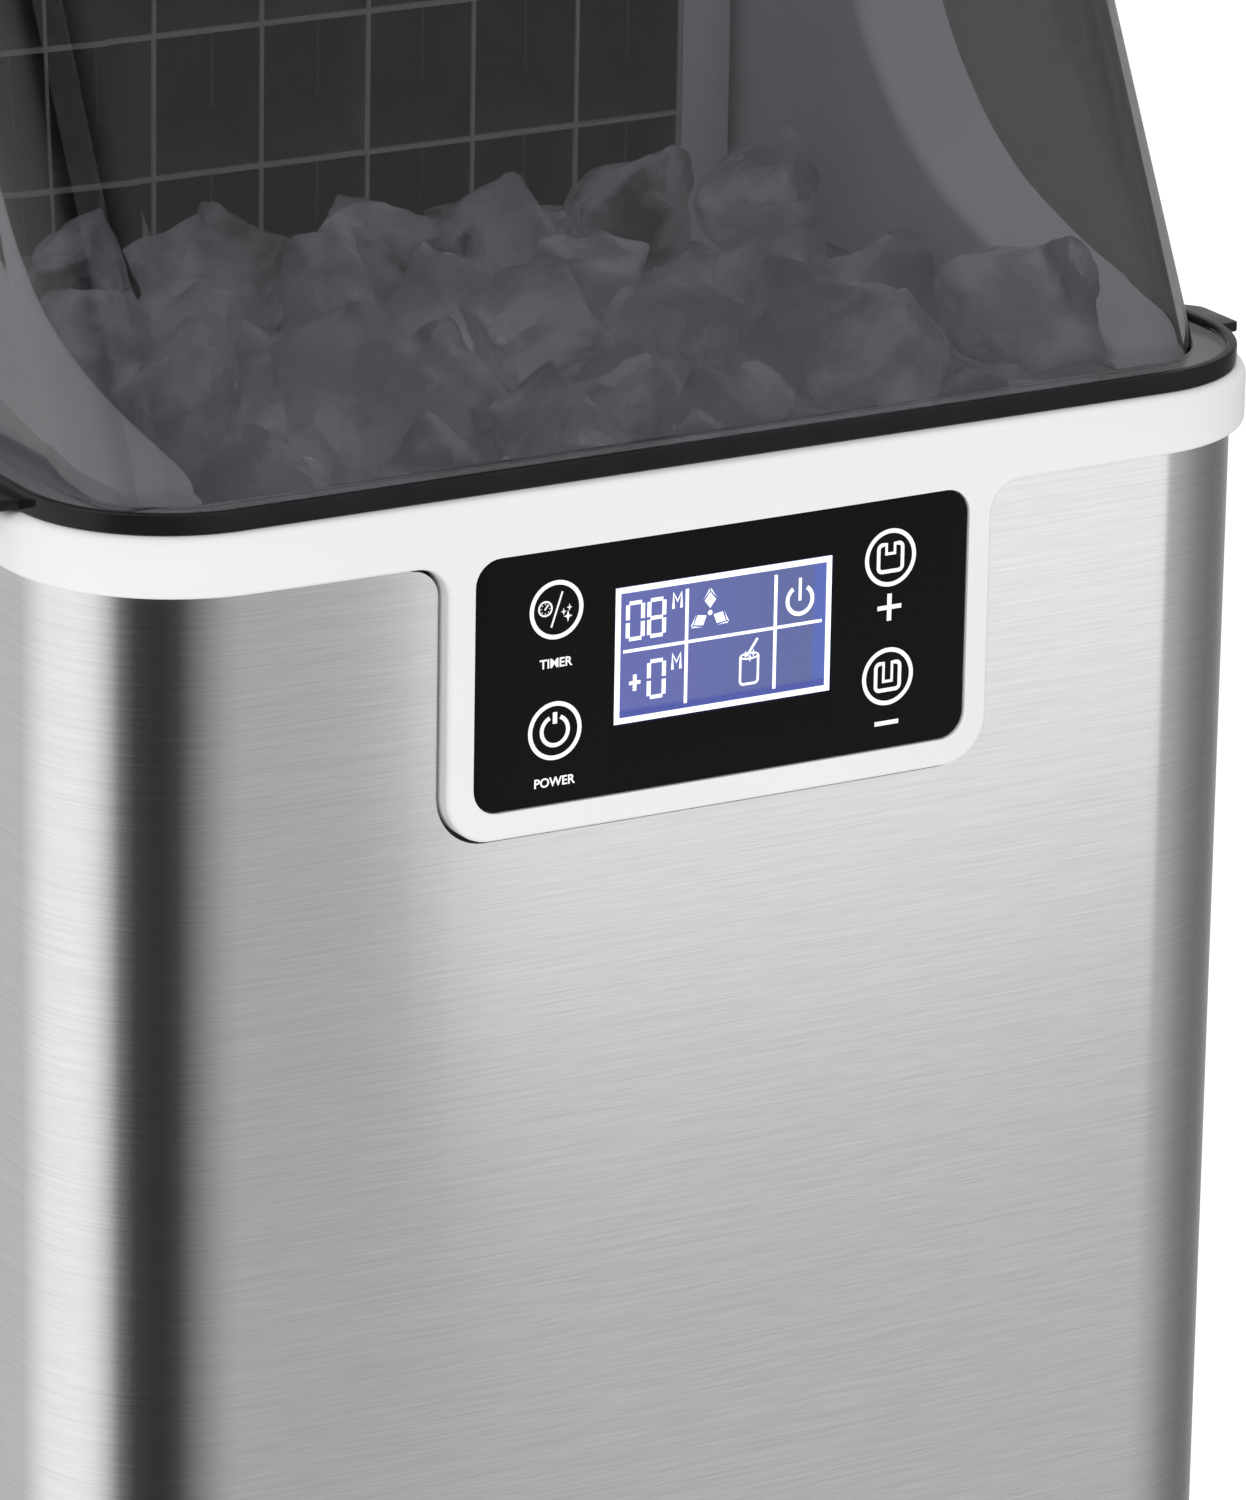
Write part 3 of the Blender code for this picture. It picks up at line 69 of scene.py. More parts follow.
# Body
WRAP_LOW, WRAP_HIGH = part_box("outer_wrap")
FRONT = WRAP_LOW.y
HALF_WIDTH = WRAP_HIGH.x
CORNER_RADIUS = 0.043
BOW_RADIUS = 4.75
BOW_REACH = HALF_WIDTH - CORNER_RADIUS
SHEET = 0.001
RETURN_FLANGE = 0.015
LOUVRE_ROWS = 8
LOUVRE_HEIGHT = 0.006
LOUVRE_LOW, LOUVRE_PITCH = 0.060, 0.0175
LOUVRE_MIDDLE, LOUVRE_HALF = -0.036, 0.065

# Collar and control panel
COLLAR_LOW, COLLAR_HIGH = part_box("collar")
OVERLAY_LOW, OVERLAY_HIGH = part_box("panel_overlay")
DISPLAY_LOW, DISPLAY_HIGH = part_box("lcd_module")
SEAM = 0.600
COLLAR_PROUD = FRONT - COLLAR_LOW.y
TAB_HALF_WIDTH = 0.082
TAB_RADIUS = 0.013
TAB_FILLET = 0.009
TAB_GAP = 0.0012
OVERLAY_RADIUS = 0.007
OVERLAY_SETBACK = 0.0003
WINDOW_HALF_WIDTH = 0.0327
WINDOW_LOW, WINDOW_HIGH = 0.5503, 0.5872
GAP = 0.0003
KEY_X = 0.0505
KEY_HEIGHTS = (0.5842, 0.5516)
KEY_RADIUS = 0.0073
KEY_STROKE = 0.0014
PRINT = 0.00006

# Lid
LID_LOW, LID_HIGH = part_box("lid")
LID_HALF_WIDTH = 0.170
LID_FOOT = 0.6206
LID_FOOT_FRONT = FRONT + 0.015
LID_LEAN = math.radians(27)
LID_REAR = FRONT + 0.243
LID_WALL = 0.0028
LID_CORNER = 0.028
LID_EDGE = 0.010
RIM_HALF_WIDTH = 0.181
RIM_FRONT = FRONT + 0.002
RIM_CORNER = 0.0415
RIM_LIP = 0.0030
SHELF_LOW, SHELF_HIGH = 0.6184, 0.6202
TAB_REACH = CAD_BOX[1].x - 0.0001
HINGE = Vector((0, FRONT + 0.236, 0.792))
HINGE_CLEAR = 0.008

BIN_HALF_WIDTH = 0.138
BIN_FRONT, BIN_REAR = FRONT + 0.022, FRONT + 0.212
GRID_FRONT = FRONT + 0.220
CELL_COLUMNS, CELL_ROWS = 7, 4
COLUMN_PITCH, ROW_PITCH = 0.0334, 0.040
GRID_LOW = 0.606
CELL_DEPTH = 0.028

SEAM_RADIUS = 0.0006
SEAM_FROM_FIN, SEAM_SETBACK = 0.0012, 0.0010
FIN_SLOPE = math.radians(20)

ICE_FLOOR = 0.530
ICE_SIZE = 0.031
ICE_PIECES = 140


# ---------------------------------------------------------------- shader nodes

class Value:
    """A number that varies over a surface. Python's operators on it add Math nodes."""

    def __init__(self, nodes, socket):
        self.nodes = nodes
        self.socket = socket

    def math(self, operation, *others):
        node = self.nodes.tree.nodes.new("ShaderNodeMath")
        node.operation = operation
        for slot, other in zip(node.inputs, (self, *others)):
            self.nodes.feed(slot, other)
        return Value(self.nodes, node.outputs[0])

    def __add__(self, other):
        return self.math("ADD", other)

    __radd__ = __add__

    def __mul__(self, other):
        return self.math("MULTIPLY", other)

    __rmul__ = __mul__

    def __sub__(self, other):
        return self.math("SUBTRACT", other)

    def __rsub__(self, other):
        return (self * -1) + other

    def __truediv__(self, other):
        return self.math("DIVIDE", other)

    def __pow__(self, other):
        return self.math("POWER", other)

    def between(self, low, high):
        """0 at low, 1 at high, smooth between."""
        share = self.nodes.node("ShaderNodeMapRange", {"interpolation_type": "SMOOTHSTEP"},
                                {"Value": self, "From Min": low, "From Max": high})
        return Value(self.nodes, share.outputs["Result"])


class Nodes:
    """A node tree, and short ways to add to it."""

    def __init__(self, tree):
        self.tree = tree

    def feed(self, slot, given):
        if isinstance(given, Value):
            self.tree.links.new(given.socket, slot)
        elif isinstance(given, bpy.types.NodeSocket):
            self.tree.links.new(given, slot)
        else:
            slot.default_value = given

    def node(self, kind, settings=None, inputs=None):
        """A node of any kind: its settings first, then the values or links of its sockets."""
        made = self.tree.nodes.new(kind)
        for name, value in (settings or {}).items():
            if name == "stops":
                self.set_stops(made.color_ramp, value)
            else:
                setattr(made, name, value)
        for name, given in (inputs or {}).items():
            self.feed(made.inputs[name], given)
        return made

    @staticmethod
    def set_stops(ramp, stops):
        while len(ramp.elements) < len(stops):
            ramp.elements.new(0.5)
        for element, (place, level) in zip(ramp.elements, stops):
            element.position = place
            element.color = (*level, 1) if isinstance(level, tuple) else (level, level, level, 1)

    def coordinates(self, kind="Object"):
        return self.node("ShaderNodeTexCoord").outputs[kind]

    def axes(self, kind="Object"):
        """The coordinates along X, Y and Z as three values."""
        split = self.node("ShaderNodeSeparateXYZ", {}, {"Vector": self.coordinates(kind)})
        return [Value(self, socket) for socket in split.outputs]

    def stretched(self, stretch):
        return self.node("ShaderNodeMapping", {}, {"Vector": self.coordinates(), "Scale": stretch}).outputs[0]

    def noise(self, scale, detail=2.0, stretch=(1, 1, 1), roughness=0.5):
        made = self.node("ShaderNodeTexNoise", {}, {"Vector": self.stretched(stretch), "Scale": scale,
                                                    "Detail": detail, "Roughness": roughness})
        return Value(self, made.outputs[0])

    def cells(self, scale, stretch=(1, 1, 1), feature="F1"):
        made = self.node("ShaderNodeTexVoronoi", {"feature": feature},
                         {"Vector": self.stretched(stretch), "Scale": scale})
        return made

    def colour(self, share, first, second):
        """A colour that goes from first to second with share."""
        mix = self.node("ShaderNodeMix", {"data_type": "RGBA"})
        self.feed(mix.inputs[0], share)
        for slot, given in ((mix.inputs[6], first), (mix.inputs[7], second)):
            self.feed(slot, (*given, 1) if isinstance(given, tuple) else given)
        return mix.outputs[2]


class Finish(Nodes):
    """A material with a Principled shader. settings are values that are the same all over it."""

    def __init__(self, name, settings):
        self.material = bpy.data.materials.new(name)
        self.material.use_nodes = True
        super().__init__(self.material.node_tree)
        self.shader = self.tree.nodes["Principled BSDF"]
        self.output = self.tree.nodes["Material Output"]
        self.set(**{name.replace(" ", "_"): value for name, value in settings.items()})

    def set(self, **sockets):
        for name, given in sockets.items():
            given = (*given, 1) if isinstance(given, tuple) and len(given) == 3 else given
            self.feed(self.shader.inputs[name.replace("_", " ")], given)
        return self

    def bump(self, height, distance, strength=1.0):
        made = self.node("ShaderNodeBump", {}, {"Height": height, "Distance": distance, "Strength": strength})
        return self.set(Normal=made.outputs["Normal"])


# ---------------------------------------------------------------- finishes

def brushed_steel():
    """Stainless sheet with a fine grain that runs level round the body."""
    made = Finish("brushed_steel", {"Metallic": 1.0, "Anisotropic": 0.9, "Anisotropic Rotation": 0.25})
    hairs = made.noise(1.0, 3, (55, 55, 4200))
    scratches = made.noise(1.0, 2, (14, 14, 1500))
    clouds = made.noise(7.0, 2)
    tone = hairs * 0.60 + scratches * 0.30 + clouds * 0.10
    made.set(Base_Color=made.colour(tone.between(0.30, 0.70), (0.735, 0.735, 0.738), (0.865, 0.865, 0.862)))
    made.set(Roughness=0.18 + hairs * 0.05 + clouds * 0.02)
    return made.bump(hairs * 0.7 + scratches * 0.3, 0.000008, 0.2).material


def turned_steel():
    made = Finish("turned_steel", {"Metallic": 1.0})
    grain = made.noise(900, 3)
    made.set(Base_Color=made.colour(grain, (0.50, 0.50, 0.51), (0.68, 0.68, 0.68)), Roughness=0.22 + grain * 0.16)
    return made.bump(grain, 0.00003, 0.3).material


def zinc_sheet():
    """Galvanised sheet: large crystals of slightly different greys."""
    made = Finish("zinc_sheet", {"Metallic": 1.0})
    crystals = made.cells(70)
    shade = made.node("ShaderNodeSeparateColor", {}, {"Color": crystals.outputs["Color"]})
    tone = Value(made, shade.outputs[0])
    grain = made.noise(260, 3)
    made.set(Base_Color=made.colour(tone * 0.7 + grain * 0.3, (0.42, 0.43, 0.45), (0.66, 0.67, 0.69)))
    made.set(Roughness=0.34 + tone * 0.16 + grain * 0.08)
    return made.bump(grain, 0.00006, 0.3).material


def satin_plastic(name, light, dark, roughness, grain_depth):
    """Moulded plastic: a fine even texture and a faint unevenness in its colour and shine."""
    made = Finish(name, {"IOR": 1.5})
    grain = made.noise(2600, 2)
    waves = made.noise(14, 2)
    made.set(Base_Color=made.colour(waves.between(0.3, 0.7), dark, light))
    made.set(Roughness=roughness + grain * 0.06 + waves * 0.05 - 0.05)
    return made.bump(grain * 0.8 + waves * 0.2, grain_depth, 0.5).material


def smoked_plastic():
    """Clear grey plastic. Lamps and scattered light pass it more freely than the eye does."""
    made = Finish("smoked_plastic", {"Transmission Weight": 1.0, "IOR": 1.46, "Specular IOR Level": 0.62, "Base Color": (0.213, 0.212, 0.216, 1)})
    wear = made.noise(35, 3)
    made.set(Roughness=0.012 + wear.between(0.45, 0.9) * 0.03)
    path = made.node("ShaderNodeLightPath")
    scattered = made.node("ShaderNodeBsdfTransparent", {}, {"Color": (0.90, 0.90, 0.92, 1)})
    lamps = made.node("ShaderNodeBsdfTransparent", {}, {"Color": (0.94, 0.94, 0.95, 1)})
    first = made.node("ShaderNodeMixShader", {}, {"Fac": path.outputs["Is Diffuse Ray"]})
    made.tree.links.new(made.shader.outputs[0], first.inputs[1])
    made.tree.links.new(scattered.outputs[0], first.inputs[2])
    second = made.node("ShaderNodeMixShader", {}, {"Fac": path.outputs["Is Shadow Ray"]})
    made.tree.links.new(first.outputs[0], second.inputs[1])
    made.tree.links.new(lamps.outputs[0], second.inputs[2])
    made.tree.links.new(second.outputs[0], made.output.inputs["Surface"])
    return made.material


def gloss_black():
    """The lid's rim: the same plastic, thick enough to look black."""
    made = Finish("gloss_black", {"IOR": 1.5, "Specular IOR Level": 0.22})
    wear = made.noise(60, 3)
    made.set(Base_Color=made.colour(wear, (0.006, 0.006, 0.007), (0.016, 0.016, 0.018)))
    made.set(Roughness=0.07 + wear.between(0.4, 0.8) * 0.06)
    return made.bump(wear, 0.00004, 0.15).material


def panel_film():
    made = Finish("panel_film", {"IOR": 1.45, "Specular IOR Level": 0.12})
    grain = made.noise(3200, 2)
    made.set(Base_Color=made.colour(grain, (0.0045, 0.0045, 0.0045), (0.0065, 0.0065, 0.0065)))
    made.set(Roughness=0.30 + grain * 0.08)
    return made.bump(grain, 0.00001, 0.3).material


def white_print_painted_glow():
    # Painted glow: the printed ink has a faint emission of its own, which makes it brighter than the lamps alone light
    # it.
    made = Finish("white_print_painted_glow", {"IOR": 1.45, "Emission Strength": 0.25})
    grain = made.noise(1800, 2)
    made.set(Base_Color=made.colour(grain, (0.80, 0.80, 0.81), (0.90, 0.90, 0.91)))
    made.set(Emission_Color=made.colour(grain, (0.85, 0.85, 0.86), (0.95, 0.95, 0.96)), Roughness=0.5 + grain * 0.1)
    return made.bump(grain, 0.00001, 0.3).material


def lit_glass():
    """The display's lit ground: blue-violet, deeper along its bottom and right edges, brighter at the left."""
    made = Finish("lit_glass", {"IOR": 1.45, "Emission Strength": 0.62})
    x, _, z = made.axes()
    grain = made.noise(900, 3)
    across = x.between(-WINDOW_HALF_WIDTH, WINDOW_HALF_WIDTH)
    middle = made.colour(across, (0.170, 0.190, 0.560), (0.145, 0.185, 0.430))
    right = x.between(WINDOW_HALF_WIDTH - 0.0062, WINDOW_HALF_WIDTH - 0.0045)
    low = 1 - z.between(WINDOW_LOW + 0.0030, WINDOW_LOW + 0.0042)
    with_right = made.colour(right, middle, (0.120, 0.190, 0.680))
    with_low = made.colour(low, with_right, (0.070, 0.095, 0.500))
    made.set(Emission_Color=made.colour(grain * 0.25, with_low, (0.24, 0.27, 0.62)))
    made.set(Base_Color=made.colour(grain, (0.020, 0.025, 0.070), (0.030, 0.036, 0.090)), Roughness=0.16 + grain * 0.05)
    return made.material


def lit_marks():
    made = Finish("lit_marks", {"IOR": 1.45, "Emission Strength": 0.75})
    grain = made.noise(1500, 2)
    made.set(Base_Color=made.colour(grain, (0.70, 0.72, 0.78), (0.80, 0.82, 0.88)))
    made.set(Emission_Color=made.colour(grain, (0.74, 0.78, 0.98), (0.88, 0.92, 1.0)), Roughness=0.35 + grain * 0.1)
    return made.material


def circuit_board():
    """Green board: fine tracks under the mask, paler where they run."""
    made = Finish("circuit_board_mask", {"IOR": 1.5})
    tracks = made.cells(420, (1, 1, 0.6), "DISTANCE_TO_EDGE")
    line = Value(made, tracks.outputs["Distance"]).between(0.02, 0.10)
    made.set(Base_Color=made.colour(line, (0.055, 0.270, 0.100), (0.012, 0.105, 0.040)), Roughness=0.30 + line * 0.15)
    return made.bump(line, 0.00004, 0.5).material


def foam():
    made = Finish("poured_foam", {"IOR": 1.4})
    skin = made.cells(520)
    bubbles = Value(made, skin.outputs["Distance"])
    waves = made.noise(25, 4)
    made.set(Base_Color=made.colour(waves, (0.62, 0.49, 0.25), (0.84, 0.73, 0.45)), Roughness=0.8 + bubbles * 0.1)
    return made.bump(bubbles * 0.6 + waves * 0.8, 0.0008, 0.6).material


def nickel_plate():
    """The evaporator's nickel: painted shade in its cells, a painted highlight along the fins' front edges, and water
    marks.
    """
    made = Finish("nickel_plating", {"Metallic": 0.55})
    marks = made.noise(48, 4)
    grain = made.noise(700, 2)
    _, y, _ = made.axes()
    # Painted highlight: a pale band along the fins' front edges, as if they caught the light.
    edge = 1 - y.between(GRID_FRONT + 0.0003, GRID_FRONT + 0.0012)
    # Painted shade: the fins are dark behind their front edges, inside the cells, with real water marks in it.
    painted_cell_shade_and_marks = made.colour(marks.between(0.3, 0.75), (0.060, 0.060, 0.062), (0.13, 0.13, 0.132))
    made.set(Base_Color=made.colour(edge, painted_cell_shade_and_marks, (0.62, 0.62, 0.62)))
    made.set(Roughness=0.24 + marks * 0.18)
    return made.bump(marks * 0.6 + grain * 0.4, 0.00015, 0.4).material


def drawn_metal(name, light, dark, roughness):
    """Drawn pipe or cast fitting, dulled in patches."""
    made = Finish(name, {"Metallic": 1.0})
    stains = made.noise(55, 4)
    grain = made.noise(1400, 2)
    made.set(Base_Color=made.colour(stains.between(0.35, 0.75), light, dark), Roughness=roughness + stains * 0.25)
    return made.bump(grain * 0.5 + stains * 0.5, 0.00005, 0.3).material


def black_enamel():
    made = Finish("black_enamel", {"IOR": 1.5})
    peel = made.noise(420, 2)
    dust = made.noise(30, 4)
    made.set(Base_Color=made.colour(dust, (0.010, 0.010, 0.011), (0.028, 0.028, 0.030)), Roughness=0.26 + dust * 0.2)
    return made.bump(peel, 0.00012, 0.35).material


def rubber():
    made = Finish("moulded_rubber", {"IOR": 1.5})
    grain = made.noise(1500, 3)
    dust = made.noise(80, 3)
    made.set(Base_Color=made.colour(dust, (0.018, 0.018, 0.018), (0.045, 0.044, 0.043)), Roughness=0.68 + dust * 0.2)
    return made.bump(grain, 0.00008, 0.6).material


def fin_stack():
    """Thin aluminium fins, packed close: fine bright edges across the airway, with painted shade in the gaps between
    them.
    """
    made = Finish("fin_stack", {"Metallic": 1.0})
    _, y, _ = made.axes()
    # Stripes across the airway: the fins' own bright metal, and painted shade for the dark gaps between them.
    fin_edges_and_gap_shade = (y * (math.tau / 0.0021)).math("SINE").between(-0.6, 0.9)
    grain = made.noise(200, 3)
    made.set(Base_Color=made.colour(fin_edges_and_gap_shade, (0.22, 0.22, 0.23), (0.80, 0.80, 0.81)), Roughness=0.32 + grain * 0.2)
    return made.bump(fin_edges_and_gap_shade, 0.0004, 0.8).material


def clear_hose():
    made = Finish("clear_hose", {"IOR": 1.41, "Transmission Weight": 0.35})
    haze = made.noise(90, 3)
    made.set(Base_Color=made.colour(haze, (0.66, 0.69, 0.71), (0.84, 0.86, 0.87)), Roughness=0.26 + haze * 0.18)
    return made.bump(haze, 0.0001, 0.3).material


def clear_ice():
    """Ice with cloudy hearts: part clear, part a milky grey-violet."""
    made = Finish("clear_ice", {"IOR": 1.31, "Transmission Weight": 0.96, "Base Color": (0.88, 0.88, 0.925, 1)})
    cloud = made.noise(42, 3).between(0.42, 0.66)
    frost = made.noise(120, 3).between(0.55, 0.75)
    made.set(Roughness=0.02 + frost * 0.18)
    made.bump(made.noise(260, 5), 0.0012, 1.0)
    path = made.node("ShaderNodeLightPath")
    lamps = made.node("ShaderNodeBsdfTransparent", {}, {"Color": (0.88, 0.88, 0.90, 1)})
    milk = made.node("ShaderNodeBsdfDiffuse", {}, {"Color": (0.84, 0.84, 0.88, 1)})
    clouded = made.node("ShaderNodeMixShader", {}, {"Fac": cloud * 0.40})
    made.tree.links.new(made.shader.outputs[0], clouded.inputs[1])
    made.tree.links.new(milk.outputs[0], clouded.inputs[2])
    first = made.node("ShaderNodeMixShader", {}, {"Fac": path.outputs["Is Shadow Ray"]})
    made.tree.links.new(clouded.outputs[0], first.inputs[1])
    made.tree.links.new(lamps.outputs[0], first.inputs[2])
    made.tree.links.new(first.outputs[0], made.output.inputs["Surface"])
    return made.material


def pale_floor():
    made = Finish("pale_floor", {"IOR": 1.3, "Emission Color": (1, 1, 1, 1), "Emission Strength": 0.35})
    grain = made.noise(3, 3)
    made.set(Base_Color=made.colour(grain, (0.90, 0.90, 0.90), (0.93, 0.93, 0.93)), Roughness=0.75 + grain * 0.1)
    return made.material


FINISHES = {
    "steel": brushed_steel(),
    "turned": turned_steel(),
    "zinc": zinc_sheet(),
    "white": satin_plastic("satin_white", (0.845, 0.845, 0.855), (0.820, 0.820, 0.832), 0.34, 0.00003),
    "inner_white": satin_plastic("inner_white", (0.77, 0.77, 0.80), (0.73, 0.73, 0.765), 0.42, 0.00005),
    "smoked": smoked_plastic(),
    "gloss_black": gloss_black(),
    "film": panel_film(),
    "print": white_print_painted_glow(),
    "lit_glass": lit_glass(),
    "lit_marks": lit_marks(),
    "board": circuit_board(),
    "foam": foam(),
    "nickel": nickel_plate(),
    "copper": drawn_metal("drawn_copper", (0.78, 0.40, 0.25), (0.36, 0.17, 0.11), 0.20),
    "brass": drawn_metal("cast_brass", (0.76, 0.58, 0.28), (0.45, 0.32, 0.14), 0.24),
    "enamel": black_enamel(),
    "rubber": rubber(),
    "fins": fin_stack(),
    "hose": clear_hose(),
}


# ---------------------------------------------------------------- modelling tools

def deselect_all():
    if bpy.context.object is not None and bpy.context.object.mode != "OBJECT":
        bpy.ops.object.mode_set(mode="OBJECT")
    bpy.ops.object.select_all(action="DESELECT")


def take(obj):
    """Makes obj the one selected object."""
    deselect_all()
    obj.select_set(True)
    bpy.context.view_layer.objects.active = obj
    return obj


def settled(scale=(1, 1, 1)):
    """The new primitive, with its place and size moved into its mesh."""
    made = bpy.context.object
    made.scale = scale
    bpy.ops.object.transform_apply(location=True, rotation=True, scale=True)
    return made


def block(low, high):
    low, high = Vector(low), Vector(high)
    deselect_all()
    bpy.ops.mesh.primitive_cube_add(size=1, location=(low + high) / 2)
    return settled(high - low)


def rod(start, end, radius, sides=48):
    start, end = Vector(start), Vector(end)
    turn = (end - start).to_track_quat("Z", "Y").to_euler()
    deselect_all()
    bpy.ops.mesh.primitive_cylinder_add(vertices=sides, radius=radius, depth=(end - start).length,
                                        location=(start + end) / 2, rotation=turn)
    return settled()


def ring(centre, axis, radius, thickness, sides=48):
    turn = Vector(axis).to_track_quat("Z", "Y").to_euler()
    deselect_all()
    bpy.ops.mesh.primitive_torus_add(major_radius=radius, minor_radius=thickness, major_segments=sides,
                                     minor_segments=12, location=centre, rotation=turn)
    return settled()


def choose(obj, kind, test):
    """Enters edit mode with chosen faces or edges. A face is tested by its middle and normal, an edge by its ends."""
    take(obj)
    bpy.ops.object.mode_set(mode="EDIT")
    bpy.ops.mesh.select_mode(type=kind)
    bpy.ops.mesh.select_all(action="DESELECT")
    bm = bmesh.from_edit_mesh(obj.data)
    bm.normal_update()
    if kind == "FACE":
        for face in bm.faces:
            face.select_set(bool(test(face.calc_center_median(), face.normal)))
    else:
        for edge in bm.edges:
            edge.select_set(bool(test(*(vert.co for vert in edge.verts))))
    bm.select_flush_mode()
    bmesh.update_edit_mesh(obj.data)


def leave():
    bpy.ops.object.mode_set(mode="OBJECT")


def bevel_edges(obj, test, width, segments=4):
    choose(obj, "EDGE", test)
    bpy.ops.mesh.bevel(offset_type="OFFSET", offset=width, segments=segments, profile=0.5, affect="EDGES",
                       clamp_overlap=False)
    leave()
    return obj


def delete_faces(obj, test):
    choose(obj, "FACE", test)
    bpy.ops.mesh.delete(type="FACE")
    leave()


def slice_across(obj, places):
    """Cuts the mesh square to X at each place, so that it can bend there."""
    take(obj)
    bpy.ops.object.mode_set(mode="EDIT")
    for x in places:
        bpy.ops.mesh.select_all(action="SELECT")
        bpy.ops.mesh.bisect(plane_co=(x, 0, 0), plane_no=(1, 0, 0))
    leave()


def clean(obj, distance=1e-6, flat=None):
    """Merges doubles, joins flat faces where asked, and turns the faces outwards."""
    take(obj)
    bpy.ops.object.mode_set(mode="EDIT")
    bpy.ops.mesh.select_mode(type="VERT")
    bpy.ops.mesh.select_all(action="SELECT")
    bpy.ops.mesh.remove_doubles(threshold=distance)
    if flat is not None:
        bpy.ops.mesh.dissolve_limited(angle_limit=flat)
        bpy.ops.mesh.select_all(action="SELECT")
    bpy.ops.mesh.normals_make_consistent(inside=False)
    leave()
    return obj


def modify(obj, kind, **settings):
    take(obj)
    modifier = obj.modifiers.new(kind.lower(), kind)
    for name, value in settings.items():
        setattr(modifier, name, value)
    bpy.ops.object.modifier_apply(modifier=modifier.name)
    return obj


def carve(obj, cutter, operation="DIFFERENCE"):
    modify(obj, "BOOLEAN", operation=operation, solver="EXACT", object=cutter)
    bpy.data.objects.remove(cutter)
    return obj


def joined(objects):
    """Several objects as one mesh."""
    deselect_all()
    for obj in objects:
        obj.select_set(True)
    bpy.context.view_layer.objects.active = objects[0]
    bpy.ops.object.join()
    return objects[0]


def piece(obj, name, body, finish, replaces=(), angle=35):
    """Names a finished shape, gives it its finish, sets what it rides on, and hides the parts that it replaces."""
    obj.name = name
    obj.data.name = name
    obj.data.materials.clear()
    obj.data.materials.append(FINISHES[finish])
    take(obj)
    bpy.ops.object.shade_smooth_by_angle(angle=math.radians(angle))
    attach(obj, body)
    if replaces:
        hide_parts(*replaces)
    return obj


def upright(a, b):
    return abs(a.x - b.x) < 1e-5 and abs(a.y - b.y) < 1e-5


def bow(x):
    """How far the bowed front stands back from its middle."""
    reach = min(abs(x), BOW_REACH)
    return reach * reach / (2 * BOW_RADIUS)


def bend_front(obj, rear_limit):
    """Bows what lies in front of rear_limit, as the body's front is bowed."""
    for vert in obj.data.vertices:
        if vert.co.y < rear_limit:
            vert.co.y += bow(vert.co.x)
    obj.data.update()
    return obj


def bow_slices(reach, count):
    return [-reach + 2 * reach * step / count for step in range(count + 1)]


def rounded_bar(low, high, axis, radius, segments=10):
    """A block with its four edges along an axis rounded."""
    def along(a, b):
        others = [other for other in range(3) if other != axis]
        return all(abs(a[other] - b[other]) < 1e-6 for other in others)
    return bevel_edges(block(low, high), along, radius, segments)


# ---------------------------------------------------------------- steel body

def outer_wrap():
    """One sheet bent round both front corners, notched for the drop tab, with louvre slots cut through its sides."""
    sheet = block((-HALF_WIDTH, FRONT, WRAP_LOW.z), (HALF_WIDTH, WRAP_HIGH.y, WRAP_HIGH.z))
    delete_faces(sheet, lambda middle, normal: abs(normal.z) > 0.5 or normal.y > 0.5)
    bevel_edges(sheet, lambda a, b: upright(a, b) and a.y < 0, CORNER_RADIUS, 28)
    slice_across(sheet, bow_slices(BOW_REACH - 0.001, 24))
    bend_front(sheet, FRONT + CORNER_RADIUS + 0.001)
    for side in (-1, 1):
        choose(sheet, "EDGE", lambda a, b: upright(a, b) and a.y > WRAP_HIGH.y - 1e-5 and a.x * side > 0)
        bpy.ops.mesh.extrude_region_move(TRANSFORM_OT_translate={"value": (-side * RETURN_FLANGE, 0, 0)})
        leave()
    bevel_edges(sheet, lambda a, b: upright(a, b) and a.y > WRAP_HIGH.y - 1e-5 and abs(a.x) > HALF_WIDTH - 1e-5,
                0.002, 4)
    clean(sheet)
    modify(sheet, "SOLIDIFY", thickness=SHEET, offset=-1, use_even_offset=True)
    carve(sheet, tab_blank(TAB_GAP, SEAM + 0.01, FRONT - 0.02, FRONT + 0.02))
    for side in (-1, 1):
        for row in range(LOUVRE_ROWS):
            low = LOUVRE_LOW + row * LOUVRE_PITCH
            x = side * HALF_WIDTH
            carve(sheet, rounded_bar((x - 0.004, LOUVRE_MIDDLE - LOUVRE_HALF, low),
                                     (x + 0.004, LOUVRE_MIDDLE + LOUVRE_HALF, low + LOUVRE_HEIGHT), 0,
                                     LOUVRE_HEIGHT * 0.49, 5))
    for screw in range(4):
        low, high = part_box(f"panel_screw_{screw + 1}")
        middle = (low + high) / 2
        carve(sheet, rod((middle.x, middle.y - 0.01, middle.z), (middle.x, middle.y + 0.01, middle.z), 0.0024, 24))
    return piece(sheet, "wrap_sheet", "cabinet", "steel", ["outer_wrap"], 30)


def tab_blank(grow, top, front, back):
    """The drop tab's outline as a block, with its fillets into the collar above."""
    tab = rounded_bar((-TAB_HALF_WIDTH - grow, front, COLLAR_LOW.z - grow),
                      (TAB_HALF_WIDTH + grow, back, top + 0.05), 1, TAB_RADIUS + grow, 12)
    fillet_z = SEAM - TAB_FILLET
    radius = TAB_FILLET - grow
    for side in (-1, 1):
        inner, outer = sorted((side * (TAB_HALF_WIDTH - 0.002), side * (TAB_HALF_WIDTH + TAB_FILLET)))
        corner = block((inner, front, fillet_z), (outer, back, top + 0.05))
        centre_x = side * (TAB_HALF_WIDTH + TAB_FILLET)
        carve(corner, rod((centre_x, front - 0.01, fillet_z), (centre_x, back + 0.01, fillet_z), radius, 64))
        carve(tab, corner, "UNION")
    carve(tab, block((-0.3, front - 0.01, top), (0.3, back + 0.01, top + 0.2)))
    return tab


# ---------------------------------------------------------------- collar and control panel

